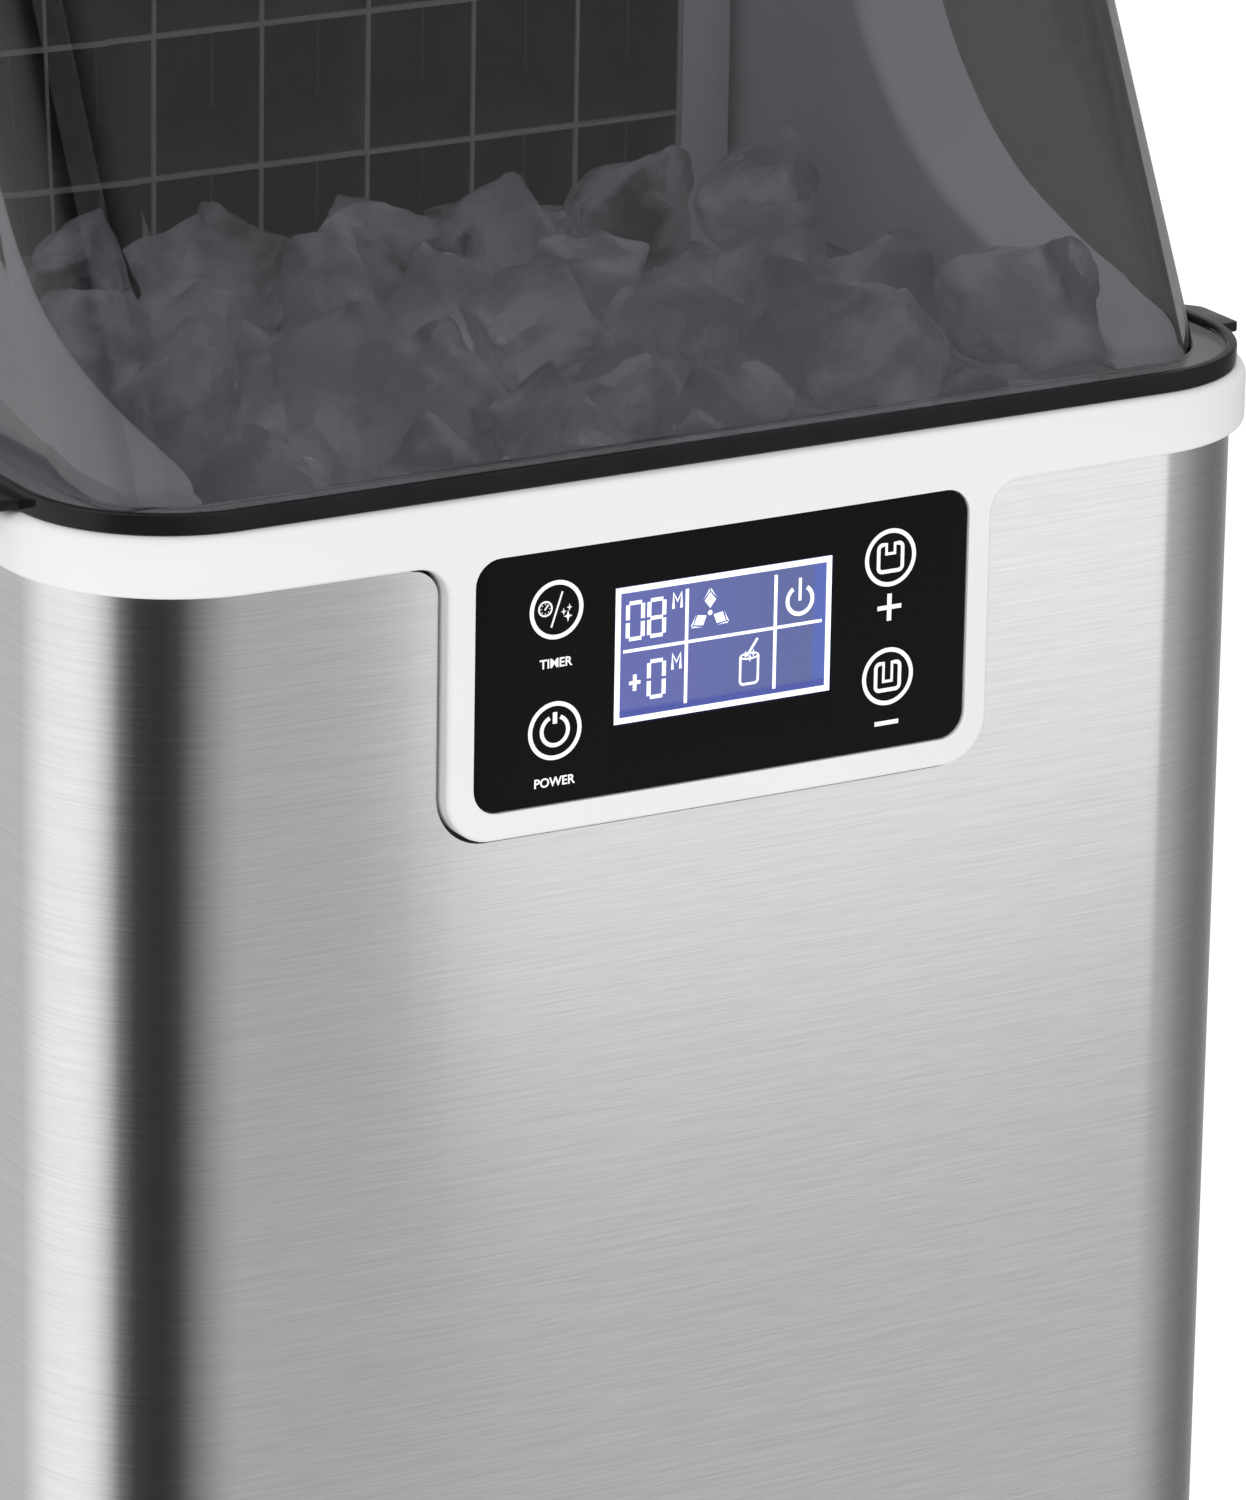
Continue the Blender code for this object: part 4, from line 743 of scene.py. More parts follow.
def collar():
    """The white moulding: a band round the body with the drop tab in one piece with it."""
    face = FRONT - COLLAR_PROUD
    half = HALF_WIDTH + COLLAR_PROUD
    back = COLLAR_HIGH.y
    body = block((-half, face, COLLAR_LOW.z - 0.01), (half, back, COLLAR_HIGH.z))
    bevel_edges(body, lambda a, b: upright(a, b) and a.y < 0, CORNER_RADIUS + COLLAR_PROUD, 28)
    bevel_edges(body, lambda a, b: upright(a, b) and a.y > back - 1e-5, 0.010, 8)
    waste = block((-0.3, face - 0.05, 0.4), (0.3, back + 0.05, SEAM))
    carve(waste, tab_blank(0, SEAM + 0.02, face - 0.1, FRONT + 0.004))
    carve(body, waste)
    clean(body, 1e-5)
    shallow = 0.0006

    def outline(a, b):
        """The edges of the front and outer faces: the top rim, the band's foot and round the tab."""
        if upright(a, b) and not (a.z < SEAM and b.z < SEAM and a.y < face + 0.001):
            return False
        at_top = min(a.z, b.z) > COLLAR_HIGH.z - 1e-5
        at_seam = max(a.z, b.z) < SEAM + 1e-5 and min(a.z, b.z) > SEAM - 1e-5
        outside = all(outer_skin(point, half, face, back) for point in (a, b))
        on_tab = max(a.z, b.z) < SEAM + 1e-5 and max(a.y, b.y) < face + 1e-5
        return outside and (at_top or at_seam or on_tab)

    bevel_edges(body, lambda a, b: outline(a, b) and min(a.z, b.z) > SEAM + 0.001, 0.0034, 6)
    bevel_edges(body, lambda a, b: outline(a, b) and min(a.z, b.z) < SEAM + 0.001, 0.0016, 5)
    narrow, wide = BIN_HALF_WIDTH + GAP, 0.160
    carve(body, rounded_bar((-narrow, BIN_FRONT - GAP, 0.4), (narrow, FRONT + 0.245, 0.7), 2, 0.004, 4))
    carve(body, block((-wide, FRONT + 0.240, 0.4), (wide, COLLAR_HIGH.y - 0.013, 0.7)))
    recess_back = OVERLAY_LOW.y + 0.0015 + GAP
    carve(body, rounded_bar((OVERLAY_LOW.x - GAP, face - 0.02, OVERLAY_LOW.z - GAP),
                            (OVERLAY_HIGH.x + GAP, recess_back, OVERLAY_HIGH.z + GAP), 1, OVERLAY_RADIUS + GAP, 8))
    carve(body, block((-0.062, face - 0.02, 0.5465), (0.062, FRONT + 0.012, 0.5915)))
    slice_across(body, bow_slices(BOW_REACH - shallow, 22))
    bend_front(body, FRONT + CORNER_RADIUS + 0.001)
    piece(body, "collar_moulding", "cabinet", "white", ["collar"], 30)


def outer_skin(point, half, face, back):
    """True for a point on the collar's outside, corners included."""
    radius = CORNER_RADIUS + COLLAR_PROUD
    margin = 2e-4
    if point.y < face + radius and abs(point.x) > half - radius:
        from_centre = math.hypot(abs(point.x) - (half - radius), point.y - (face + radius))
        return abs(from_centre - radius) < margin
    rear = 0.010
    if point.y > back - rear and abs(point.x) > half - rear:
        from_centre = math.hypot(abs(point.x) - (half - rear), point.y - (back - rear))
        return abs(from_centre - rear) < margin
    return min(point.y - face, half - abs(point.x), back - point.y) < margin


def panel_overlay():
    face = OVERLAY_LOW.y
    film = rounded_bar((OVERLAY_LOW.x, face, OVERLAY_LOW.z), (OVERLAY_HIGH.x, face + 0.0015, OVERLAY_HIGH.z), 1,
                       OVERLAY_RADIUS, 10)
    bevel_edges(film, lambda a, b: max(a.y, b.y) < face + 1e-6, 0.0003, 2)
    window = WINDOW_HALF_WIDTH + GAP
    carve(film, block((-window, face - 0.01, WINDOW_LOW - GAP), (window, face + 0.02, WINDOW_HIGH + GAP)))
    slice_across(film, bow_slices(0.070, 16))
    bend_front(film, 0)
    piece(film, "overlay_film", "cabinet", "film", ["panel_overlay"], 30)


def stroke(points, width, closed=False):
    """A raised printed line through (x, z) points."""
    curve = bpy.data.curves.new("line", "CURVE")
    curve.dimensions = "3D"
    curve.bevel_depth = width / 2
    curve.bevel_resolution = 1
    curve.use_fill_caps = True
    spline = curve.splines.new("POLY")
    spline.points.add(len(points) - 1)
    spline.use_cyclic_u = closed
    for point, (x, z) in zip(spline.points, points):
        point.co = (x, 0, z, 1)
    line = bpy.data.objects.new("line", curve)
    bpy.context.scene.collection.objects.link(line)
    take(line)
    bpy.ops.object.convert(target="MESH")
    flat = PRINT / (width / 2)
    for vert in line.data.vertices:
        vert.co.y *= flat
    return clean(line, 1e-7)


def arc(centre, radius, start, end, steps=24):
    angles = [math.radians(start + (end - start) * step / steps) for step in range(steps + 1)]
    return [(centre[0] + radius * math.cos(angle), centre[1] + radius * math.sin(angle)) for angle in angles]


def filled(points, half_thickness=PRINT):
    """A plate, or a printed patch, with an outline of (x, z) points."""
    curve = bpy.data.curves.new("patch", "CURVE")
    curve.dimensions = "2D"
    curve.fill_mode = "BOTH"
    curve.extrude = half_thickness
    spline = curve.splines.new("POLY")
    spline.points.add(len(points) - 1)
    spline.use_cyclic_u = True
    for point, (x, z) in zip(spline.points, points):
        point.co = (x, z, 0, 1)
    patch = bpy.data.objects.new("patch", curve)
    bpy.context.scene.collection.objects.link(patch)
    return stood_up(patch)


def stood_up(flat_object):
    """Makes a flat curve or text a mesh, then stands it up to face the front."""
    take(flat_object)
    bpy.ops.object.convert(target="MESH")
    made = bpy.context.object
    made.data.transform(Matrix.Rotation(math.pi / 2, 4, "X"))
    return clean(made, 1e-7)


def words(text, x, z, height, weight=0.00007):
    deselect_all()
    bpy.ops.object.text_add()
    made = bpy.context.object
    made.data.body = text
    made.data.size = height / 0.72
    made.data.align_x = "CENTER"
    made.data.align_y = "CENTER"
    made.data.extrude = PRINT
    made.data.offset = weight
    made.data.resolution_u = 4
    made = stood_up(made)
    made.data.transform(Matrix.Translation((x, 0, z)))
    return made


def shifted(points, x, z):
    return [(x + u, z + v) for u, v in points]


def diamond(x, z, reach):
    """A four-pointed sparkle."""
    waist = reach * 0.30
    points = []
    for quarter in range(4):
        angle = math.radians(90 * quarter)
        between = math.radians(90 * quarter + 45)
        points.append((x + reach * 0.8 * math.cos(angle), z + reach * math.sin(angle)))
        points.append((x + waist * math.cos(between), z + waist * math.sin(between)))
    return filled(points)


def notched_square(x, z, half, depth):
    """A rounded square line with a notch in its top."""
    corner, notch = 0.0012, 0.0013
    path = arc((-half + corner, -half + corner), corner, 180, 270, 5)
    path += arc((half - corner, -half + corner), corner, 270, 360, 5)
    path += arc((half - corner, half - corner), corner, 0, 90, 5)
    path += [(notch, half), (notch, half - depth), (-notch, half - depth), (-notch, half)]
    path += arc((-half + corner, half - corner), corner, 90, 180, 5)
    return stroke(shifted(path, x, z), 0.00125, closed=True)


def power_mark(x, z, radius, width, bar, bar_width, opening):
    """A ring open at its top, with a bar from the first to the second height in bar."""
    return [stroke(arc((x, z), radius, 90 + opening, 450 - opening, 40), width),
            stroke([(x, z + height) for height in bar], bar_width)]


def panel_print():
    """The keys' printed marks and legends, on the overlay's face."""
    high, low = KEY_HEIGHTS
    marks = []
    for x in (-KEY_X, KEY_X):
        for z in KEY_HEIGHTS:
            marks.append(stroke(arc((x, z), KEY_RADIUS, 0, 360, 64)[:-1], KEY_STROKE, closed=True))
    gauge = (-KEY_X - 0.0033, high + 0.0006)
    marks.append(stroke(arc(gauge, 0.0019, 0, 360, 32)[:-1], 0.00055, closed=True))
    for tick in range(8):
        (inner, outer) = (0.00115, 0.00145)
        angle = math.radians(45 * tick)
        toward = (math.cos(angle), math.sin(angle))
        marks.append(stroke([(gauge[0] + toward[0] * inner, gauge[1] + toward[1] * inner),
                             (gauge[0] + toward[0] * outer, gauge[1] + toward[1] * outer)], 0.0003))
    marks.append(stroke([(gauge[0] - 0.0002, gauge[1] - 0.0003), (gauge[0] + 0.0008, gauge[1] + 0.0010)], 0.0005))
    marks.append(stroke([(-KEY_X - 0.0015, high - 0.0046), (-KEY_X + 0.0017, high + 0.0047)], 0.0006))
    for x, z, reach in ((0.0038, 0.0002, 0.0010), (0.0021, -0.0008, 0.0010), (0.0034, -0.0021, 0.0016)):
        marks.append(diamond(-KEY_X + x, high + z, reach))
    marks += power_mark(-KEY_X, low, 0.0039, 0.0013, (0.0019, 0.0050), 0.0013, 24)
    marks.append(notched_square(KEY_X, high, 0.0037, 0.0026))
    marks.append(notched_square(KEY_X, low, 0.0037, 0.0050))
    plus, minus = high - 0.0136, low - 0.0128
    marks.append(stroke([(KEY_X - 0.0037, plus), (KEY_X + 0.0037, plus)], 0.0014))
    marks.append(stroke([(KEY_X, plus - 0.0037), (KEY_X, plus + 0.0037)], 0.0014))
    marks.append(stroke([(KEY_X - 0.0037, minus), (KEY_X + 0.0037, minus)], 0.0014))
    marks.append(words("TIMER", -KEY_X, high - 0.0144, 0.0025))
    marks.append(words("POWER", -KEY_X, low - 0.0139, 0.0025))
    onto_front(marks, OVERLAY_LOW.y)
    piece(joined(marks), "key_print", "cabinet", "print", (), 50)


def onto_front(marks, face):
    """Lays flat marks on the bowed face, half sunk in it."""
    for mark in marks:
        for vert in mark.data.vertices:
            vert.co.y += face + bow(vert.co.x)


DIGIT_BARS = {
    "0": "abcdef", "1": "bc", "2": "abged", "3": "abgcd", "4": "fgbc", "5": "afgcd", "6": "afgecd", "7": "abc",
    "8": "abcdefg", "9": "abcfgd",
}


def digit(number, x, z, width=0.0045, height=0.0097, line=0.0012):
    """A seven-bar digit centred on (x, z)."""
    w, h, gap = width / 2, height / 2, 0.0004
    bars = {
        "a": [(-w + gap, h), (w - gap, h)], "g": [(-w + gap, 0), (w - gap, 0)], "d": [(-w + gap, -h), (w - gap, -h)],
        "f": [(-w, gap), (-w, h - gap)], "b": [(w, gap), (w, h - gap)],
        "e": [(-w, -gap), (-w, -h + gap)], "c": [(w, -gap), (w, -h + gap)],
    }
    return [stroke(shifted(bars[bar], x, z), line) for bar in DIGIT_BARS[number]]


def small_cube(x, z, turn):
    """A little cube seen from a corner, turned about the icon's middle."""
    half = 0.0017
    turn = math.radians(turn)

    def turned(points):
        return [(x + u * math.cos(turn) - v * math.sin(turn), z + u * math.sin(turn) + v * math.cos(turn))
                for u, v in points]

    face = [(-half, 0), (0, -half * 1.25), (half, 0), (0, half * 1.25)]
    left = [(-half - 0.0004, 0.0004), (-half + 0.0003, 0.0013), (-0.0002, half * 1.25 + 0.0011), (-0.0002, half * 1.25 + 0.0003)]
    right = [(-u, v) for u, v in left]
    return [filled(turned(face)), filled(turned(left)), filled(turned(right))]


def display():
    """The lit glass, its white surround, dividing lines and marks."""
    glass_face = FRONT - 0.0028
    glass = block((-WINDOW_HALF_WIDTH, glass_face, WINDOW_LOW), (WINDOW_HALF_WIDTH, FRONT - 0.0006, WINDOW_HIGH))
    frame_back = rounded_bar((-0.038, FRONT - 0.0008, 0.5478), (0.038, DISPLAY_HIGH.y, 0.5898), 1, 0.002, 3)
    carve(glass, frame_back, "UNION")
    bevel_edges(glass, lambda a, b: max(a.y, b.y) < glass_face + 1e-6, 0.0002, 2)
    piece(glass, "display_glass", "cabinet", "lit_glass", ["lcd_module"], 30)

    def at(across, down):
        """A place on the display, in metres from its upper left corner."""
        return -WINDOW_HALF_WIDTH + across, WINDOW_HIGH - down

    border = 0.0016
    width, height = 2 * WINDOW_HALF_WIDTH, WINDOW_HIGH - WINDOW_LOW
    marks = []
    for first, second in (((0, border / 2), (width, border / 2)), ((0, height - border / 2), (width, height - border / 2)),
                          ((border / 2, border), (border / 2, height - border)),
                          ((width - border / 2, border), (width - border / 2, height - border))):
        marks.append(bar_between(at(*first), at(*second), border))
    line = 0.0010
    for first, second in (((0.0025, 0.0174), (0.0626, 0.0174)), ((0.0215, 0.0030), (0.0215, 0.0340)),
                          ((0.0484, 0.0030), (0.0484, 0.0340))):
        marks.append(stroke([at(*first), at(*second)], line))
    marks += digit("0", *at(0.0060, 0.0094)) + digit("8", *at(0.0124, 0.0094)) + digit("0", *at(0.0126, 0.0260))
    half, tall = 0.0012, 0.0021
    letter = [(-half, -tall), (-half, tall), (0, -tall * 0.1), (half, tall), (half, -tall)]
    for down in (0.0057, 0.0222):
        marks.append(stroke(shifted(letter, *at(0.0186, down)), 0.0008))
    x, z = at(0.0061, 0.0262)
    marks.append(stroke([(x - 0.0017, z), (x + 0.0017, z)], 0.0011))
    marks.append(stroke([(x, z - 0.0022), (x, z + 0.0022)], 0.0011))
    x, z = at(0.0285, 0.0104)
    marks.append(filled(arc((x, z), 0.0007, 0, 360, 12)[:-1]))
    for turn in (0, 120, 240):
        out = math.radians(90 + turn)
        marks += small_cube(x + 0.0034 * math.cos(out), z + 0.0034 * math.sin(out), turn)
    x, z = at(0.0407, 0.0277)
    half, tall = 0.0027, 0.0038
    tumbler = [(half, tall)] + arc((half - 0.0010, -tall + 0.0010), 0.0010, 0, -90, 4)
    tumbler += arc((-half + 0.0010, -tall + 0.0010), 0.0010, 270, 180, 4) + [(-half, tall)]
    marks.append(stroke(shifted(tumbler, x, z), 0.0007))
    marks.append(stroke([(x + half * u, z + tall + 0.0008 * v) for u, v in arc((0, 0), 1, 0, 360, 20)[:-1]], 0.0005, True))
    marks.append(stroke([(x - 0.0008, z + tall), (x + 0.0024, z + tall + 0.0045)], 0.0008))
    for u, v in ((-0.0012, 0.0004), (0.0012, 0.0006), (0.0002, -0.0006)):
        marks.append(diamond(x + u, z + tall + v, 0.0011))
    marks += power_mark(*at(0.0558, 0.0108), 0.0038, 0.0013, (-0.0002, 0.0060), 0.0009, 34)
    for mark in marks:
        for vert in mark.data.vertices:
            vert.co.y += glass_face
    piece(joined(marks), "display_marks", "cabinet", "lit_marks", (), 50)


def bar_between(start, end, width):
    """A flat raised bar between two (x, z) places."""
    (x1, z1), (x2, z2) = start, end
    grow_x = 0 if z1 == z2 else width / 2
    grow_z = width / 2 if z1 == z2 else 0
    return block((min(x1, x2) - grow_x, -PRINT, min(z1, z2) - grow_z), (max(x1, x2) + grow_x, PRINT, max(z1, z2) + grow_z))


# ---------------------------------------------------------------- lid

def lid_wedge(inset, low, rear):
    """The lid's outer form: a leaning front, upright sides and a flat top."""
    half, top = LID_HALF_WIDTH - inset, LID_HIGH.z - inset
    slope = math.tan(LID_LEAN)

    def front_at(height):
        return LID_FOOT_FRONT + inset / math.cos(LID_LEAN) + (height - LID_FOOT) * slope

    wedge = block((-half, front_at(low), low), (half, rear, top))
    for vert in wedge.data.vertices:
        if vert.co.z > top - 1e-5 and vert.co.y < rear - 1e-5:
            vert.co.y = front_at(top)
    bevel_edges(wedge, lambda a, b: abs(a.x - b.x) < 1e-6 and abs(a.z - b.z) > 0.01 and max(a.y, b.y) < rear - 1e-4,
                LID_CORNER - inset, 16)
    bevel_edges(wedge, lambda a, b: min(a.z, b.z) > top - 1e-5 and min(a.y, b.y) < rear - 1e-4, LID_EDGE - inset, 8)
    return wedge


def lid_shell():
    """The smoked cover, an even wall all over, cut back and rounded at its hinge ears."""
    shell = lid_wedge(0, SHELF_LOW, LID_REAR)
    carve(shell, rim_blank(RIM_LIP + 0.00005, SHELF_LOW + 0.0001, SHELF_HIGH), "UNION")
    carve(shell, lid_wedge(LID_WALL, 0.600, LID_REAR + 0.02))
    reach = LID_HALF_WIDTH + 0.01
    carve(shell, rod((-reach, HINGE.y, HINGE.z), (reach, HINGE.y, HINGE.z), 0.0028, 32))
    half = LID_HALF_WIDTH - LID_WALL
    carve(shell, block((-half, HINGE.y, HINGE.z), (half, LID_REAR + 0.01, LID_HIGH.z + 0.01)))
    ear = block((-0.2, HINGE.y, HINGE.z - 0.0075), (0.2, LID_REAR + 0.005, LID_HIGH.z + 0.005))
    carve(ear, rod((-0.25, HINGE.y, HINGE.z), (0.25, HINGE.y, HINGE.z), HINGE_CLEAR, 64))
    carve(shell, ear)
    piece(shell, "lid_shell", "lid", "smoked", ["lid"], 30)


def rim_blank(inset, low, high):
    """The rim's outline as a plate, moved in by inset at the front and sides."""
    half = RIM_HALF_WIDTH - inset
    plate = block((-half, RIM_FRONT + inset, low), (half, LID_REAR - inset, high))
    return bevel_edges(plate, lambda a, b: upright(a, b) and a.y < 0, RIM_CORNER - inset, 28)


def lid_rim():
    """The rim's thick outer lip, and a finger tab at each side. The shelf inside it belongs to the shell."""
    low, high = LID_LOW.z, LID_FOOT + 0.0009
    rim = rim_blank(0, low, high)
    carve(rim, rim_blank(RIM_LIP, low - 0.01, high + 0.01))
    bevel_edges(rim, lambda a, b: min(a.z, b.z) > high - 1e-5, 0.0008, 4)
    for side in (-1, 1):
        inner, outer = sorted((side * 0.1765, side * TAB_REACH))
        tab = block((inner, FRONT + 0.042, low + 0.0004), (outer, FRONT + 0.078, low + 0.0031))
        for vert in tab.data.vertices:
            if abs(vert.co.x) > 0.18:
                vert.co.y = FRONT + 0.043 if vert.co.y < FRONT + 0.06 else FRONT + 0.061
        bevel_edges(tab, lambda a, b: upright(a, b) and abs(a.x) > 0.18, 0.0015, 4)
        bevel_edges(tab, lambda a, b: min(a.z, b.z) > low + 0.003 or max(a.z, b.z) < low + 0.0005, 0.0004, 2)
        carve(rim, tab, "UNION")
    piece(rim, "lid_rim", "lid", "gloss_black", (), 35)


def smooth_path(points, steps=5):
    """Points along a smooth curve through the given ones."""
    ends = [points[0], *points, points[-1]]
    path = []
    for before, start, end, after in zip(ends, ends[1:], ends[2:], ends[3:]):
        before, start, end, after = (Vector(point) for point in (before, start, end, after))
        for step in range(steps):
            t = step / steps
            bend = (2 * before - 5 * start + 4 * end - after) * t * t + (3 * start - before - 3 * end + after) * t ** 3
            path.append((2 * start + (end - before) * t + bend) / 2)
    return [tuple(point) for point in path] + [points[-1]]


# The cheek's swept front edge, from the bin's corner up to the hinge: (distance behind the front, height)
CHEEK_SWEEP = (
    (0.026, 0.6165), (0.031, 0.6228), (0.060, 0.6293), (0.085, 0.6352), (0.110, 0.6437), (0.125, 0.6515),
    (0.138, 0.6612), (0.151, 0.6745), (0.160, 0.6875), (0.166, 0.7020), (0.1705, 0.7220), (0.173, 0.7500),
    (0.1745, 0.7965),
)
CHEEK_INNER, CHEEK_OUTER = BIN_HALF_WIDTH + GAP, 0.1653


def side_cheeks():
    """The white swept mouldings between the bin and the lid's sides, rounded along the sweep."""
    cheek_rear = FRONT + 0.2497
    shoulder = HINGE.z - 0.0085
    boss = arc((HINGE.y, HINGE.z), 0.0045, 90, -40, 12)
    outline = smooth_path([(FRONT + depth, height) for depth, height in CHEEK_SWEEP])
    outline += boss + [(HINGE.y + 0.0095, shoulder), (cheek_rear, shoulder), (cheek_rear, 0.6165)]
    for name, side in (("side_cheek_left", -1), ("side_cheek_right", 1)):
        cheek = filled(outline, (CHEEK_OUTER - CHEEK_INNER) / 2)
        turn = Matrix.Rotation(math.pi / 2, 4, "Z")
        cheek.data.transform(Matrix.Translation((side * (CHEEK_INNER + CHEEK_OUTER) / 2, 0, 0)) @ turn)
        bevel_edges(cheek, lambda a, b: on_sweep(a, side) and on_sweep(b, side), 0.0035, 6)
        carve(cheek, lid_wedge(LID_WALL + 0.0012, 0.600, HINGE.y + 0.03), "INTERSECT")
        for start, end, radius in ((0.148, 0.17, 0.0028), (0.1594, 0.17, 0.0095)):
            carve(cheek, rod((side * start, HINGE.y, HINGE.z), (side * end, HINGE.y, HINGE.z), radius))
        clean(cheek, 1e-6)
        piece(cheek, name + "_moulding", "cabinet", "inner_white", [name], 30)


def on_sweep(point, side):
    """True on the swept edge nearest the bin."""
    return abs(point.x - side * CHEEK_INNER) < 1e-5 and 0.618 < point.z < 0.795 and point.y < FRONT + 0.1744


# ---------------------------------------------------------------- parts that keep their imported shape

def fine_copy(node, body, finish, width, angle=35, flat=0.01):
    """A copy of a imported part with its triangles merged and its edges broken."""
    source = frame["nodes"][node]
    copy = source.copy()
    copy.data = source.data.copy()
    copy.parent = None
    for key in list(copy.keys()):
        del copy[key]
    bpy.context.scene.collection.objects.link(copy)
    copy.hide_render = False
    copy.hide_viewport = False
    clean(copy, 1e-6, flat)
    if width:
        modify(copy, "BEVEL", width=width, segments=2, limit_method="ANGLE", angle_limit=math.radians(40),
               use_clamp_overlap=True, miter_outer="MITER_ARC" if width > 0.002 else "MITER_SHARP")
    piece(copy, node + "_fine", body, finish, [node], angle)
    return copy


# part: (slot, finish, width of its broken edges)
KEPT_SHAPES = {
    "base_pan": ("galvanised", "zinc", 0.0),
    "mid_deck": ("galvanised", "zinc", 0.0),
    "back_panel": ("galvanised", "zinc", 0.0),
    "rear_housing": ("white_plastic", "white", 0.0005),
    "top_cover": ("white_plastic", "white", 0.0),
    "bin_liner": ("white_plastic", "inner_white", 0.0),
    "bin_insulation": ("foam", "foam", 0.0),
    "evaporator_grid": ("nickel_plate", "nickel", 0.0),
    "evaporator_frame": ("white_plastic", "inner_white", 0.0008),
    "ice_slide": ("white_plastic", "inner_white", 0.0),
    "water_trough": ("white_plastic", "inner_white", 0.0),
    "control_board": ("circuit_board", "board", 0.0),
    "power_board": ("circuit_board", "board", 0.0),
}
CARRIED_OVER = {
    "bin_probe": "turned", "bin_drain_tube": "hose", "drain_cap": "rubber", "evaporator_coil": "copper",
    "water_distributor": "hose", "float_arm": "hose", "pump_body": "enamel", "pump_impeller": "hose",
    "pump_hose": "hose", "compressor": "enamel", "condenser_core": "fins", "fan_shroud": "enamel",
    "fan_motor": "enamel", "fan_blades": "hose", "hot_gas_valve": "brass", "filter_drier": "copper",
    "suction_line": "copper", "discharge_line": "copper", "hot_gas_line_lower": "copper",
    "hot_gas_line_upper": "copper", "liquid_line": "copper", "water_inlet_valve": "hose", "inlet_hose": "hose",
    "cord_gland": "rubber", "hinge_pin_left": "turned", "hinge_pin_right": "turned",
}


def cell_seams():
    """The bright solder line in one rear corner of each cell, with a drop at its foot."""
    seams = []
    y = GRID_FRONT + CELL_DEPTH - SEAM_SETBACK
    for column in range(CELL_COLUMNS):
        x = (column + 1 - CELL_COLUMNS / 2) * COLUMN_PITCH - SEAM_FROM_FIN
        for row in range(CELL_ROWS):
            foot = GRID_LOW + row * ROW_PITCH + CELL_DEPTH * math.tan(FIN_SLOPE) + SEAM_RADIUS
            top = foot + ROW_PITCH * 0.72
            seams.append(rod((x, y, foot), (x, y, top), SEAM_RADIUS, 10))
            deselect_all()
            bpy.ops.mesh.primitive_uv_sphere_add(segments=16, ring_count=10, radius=2 * SEAM_RADIUS,
                                                 location=(x, y, foot + SEAM_RADIUS))
            seams.append(settled())
    piece(joined(seams), "cell_seams", "cabinet", "zinc", (), 40)


def body_of_node(node):
    return next(name for name, nodes in frame["record"]["behaviour"]["bodies"].items() if node in nodes)


def carried_over_parts():
    """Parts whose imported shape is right: a finish, and broken edges where they show."""
    for node, (slot, finish, width) in KEPT_SHAPES.items():
        fine_copy(node, body_of_node(node), finish, width)
    finishes = dict(CARRIED_OVER)
    for node in frame["nodes"]:
        if node.startswith("compressor_grommet") or node.startswith("levelling_foot"):
            finishes[node] = "rubber"
        elif node.startswith("panel_screw"):
            finishes[node] = "zinc"
    for node, finish in finishes.items():
        slots = frame["nodes"][node].data.materials
        for index in range(len(slots)):
            slots[index] = FINISHES[finish]


# ---------------------------------------------------------------- ice, floor, light and camera

def ice_shape(seed):
    """One lump: a block broken along a few planes, with melted corners and a wavy skin."""
    rng = random.Random(seed)
    half = Vector([ICE_SIZE / 2 * rng.uniform(0.80, 1.15) for _ in range(3)])
    lump = block(-half, half)
    for _ in range(rng.randint(3, 5)):
        facing = Vector([rng.uniform(-1, 1) for _ in range(3)]).normalized()
        take(lump)
        bpy.ops.object.mode_set(mode="EDIT")
        bpy.ops.mesh.select_all(action="SELECT")
        bpy.ops.mesh.bisect(plane_co=facing * ICE_SIZE * rng.uniform(0.34, 0.46), plane_no=facing,
                            use_fill=True, clear_outer=True)
        leave()
    modify(lump, "REMESH", mode="VOXEL", voxel_size=0.0017)
    modify(lump, "SMOOTH", factor=0.5, iterations=1)
    offset = Vector((seed * 7.3, seed * 1.7, seed * 3.1))
    for vert in lump.data.vertices:
        vert.co += noise.noise_vector(vert.co * 75 + offset) * 0.0026
        vert.co += noise.noise_vector(vert.co * 230 + offset) * 0.0008
    take(lump)
    bpy.ops.object.shade_smooth()
    return lump


def ice_heap():
    """Loose ice in the bin. It shows how the machine is used, and isn't part of it."""
    rng = random.Random(5)
    shapes = [ice_shape(seed) for seed in range(7)]
    lumps = []
    columns, rows = 7, 5
    for number in range(ICE_PIECES):
        source = shapes[number % len(shapes)]
        lump = source.copy()
        lump.data = source.data.copy()
        bpy.context.scene.collection.objects.link(lump)
        layer, rest = divmod(number, columns * rows)
        row, column = divmod(rest, columns)
        lump.location = (
            -0.108 + 0.036 * column + rng.uniform(-0.003, 0.003),
            BIN_REAR - 0.019 - 0.036 * row + rng.uniform(-0.003, 0.003),
            ICE_FLOOR + 0.022 + 0.040 * layer,
        )
        lump.rotation_euler = [rng.uniform(0, math.tau) for _ in range(3)]
        lumps.append(lump)
    for shape in shapes:
        bpy.data.objects.remove(shape)
    settle(lumps)
    for lump in lumps:
        lump.data.transform(lump.matrix_world)
        lump.matrix_world = Matrix.Identity(4)
    heap = joined(lumps)
    heap.name = "ice"
    heap.data.materials.clear()
    heap.data.materials.append(clear_ice())
    lights_only(lamp("glint", (0.25, -1.3, 2.2), (0, -0.07, 0.65), 0.35, 22, glossy=True), heap)


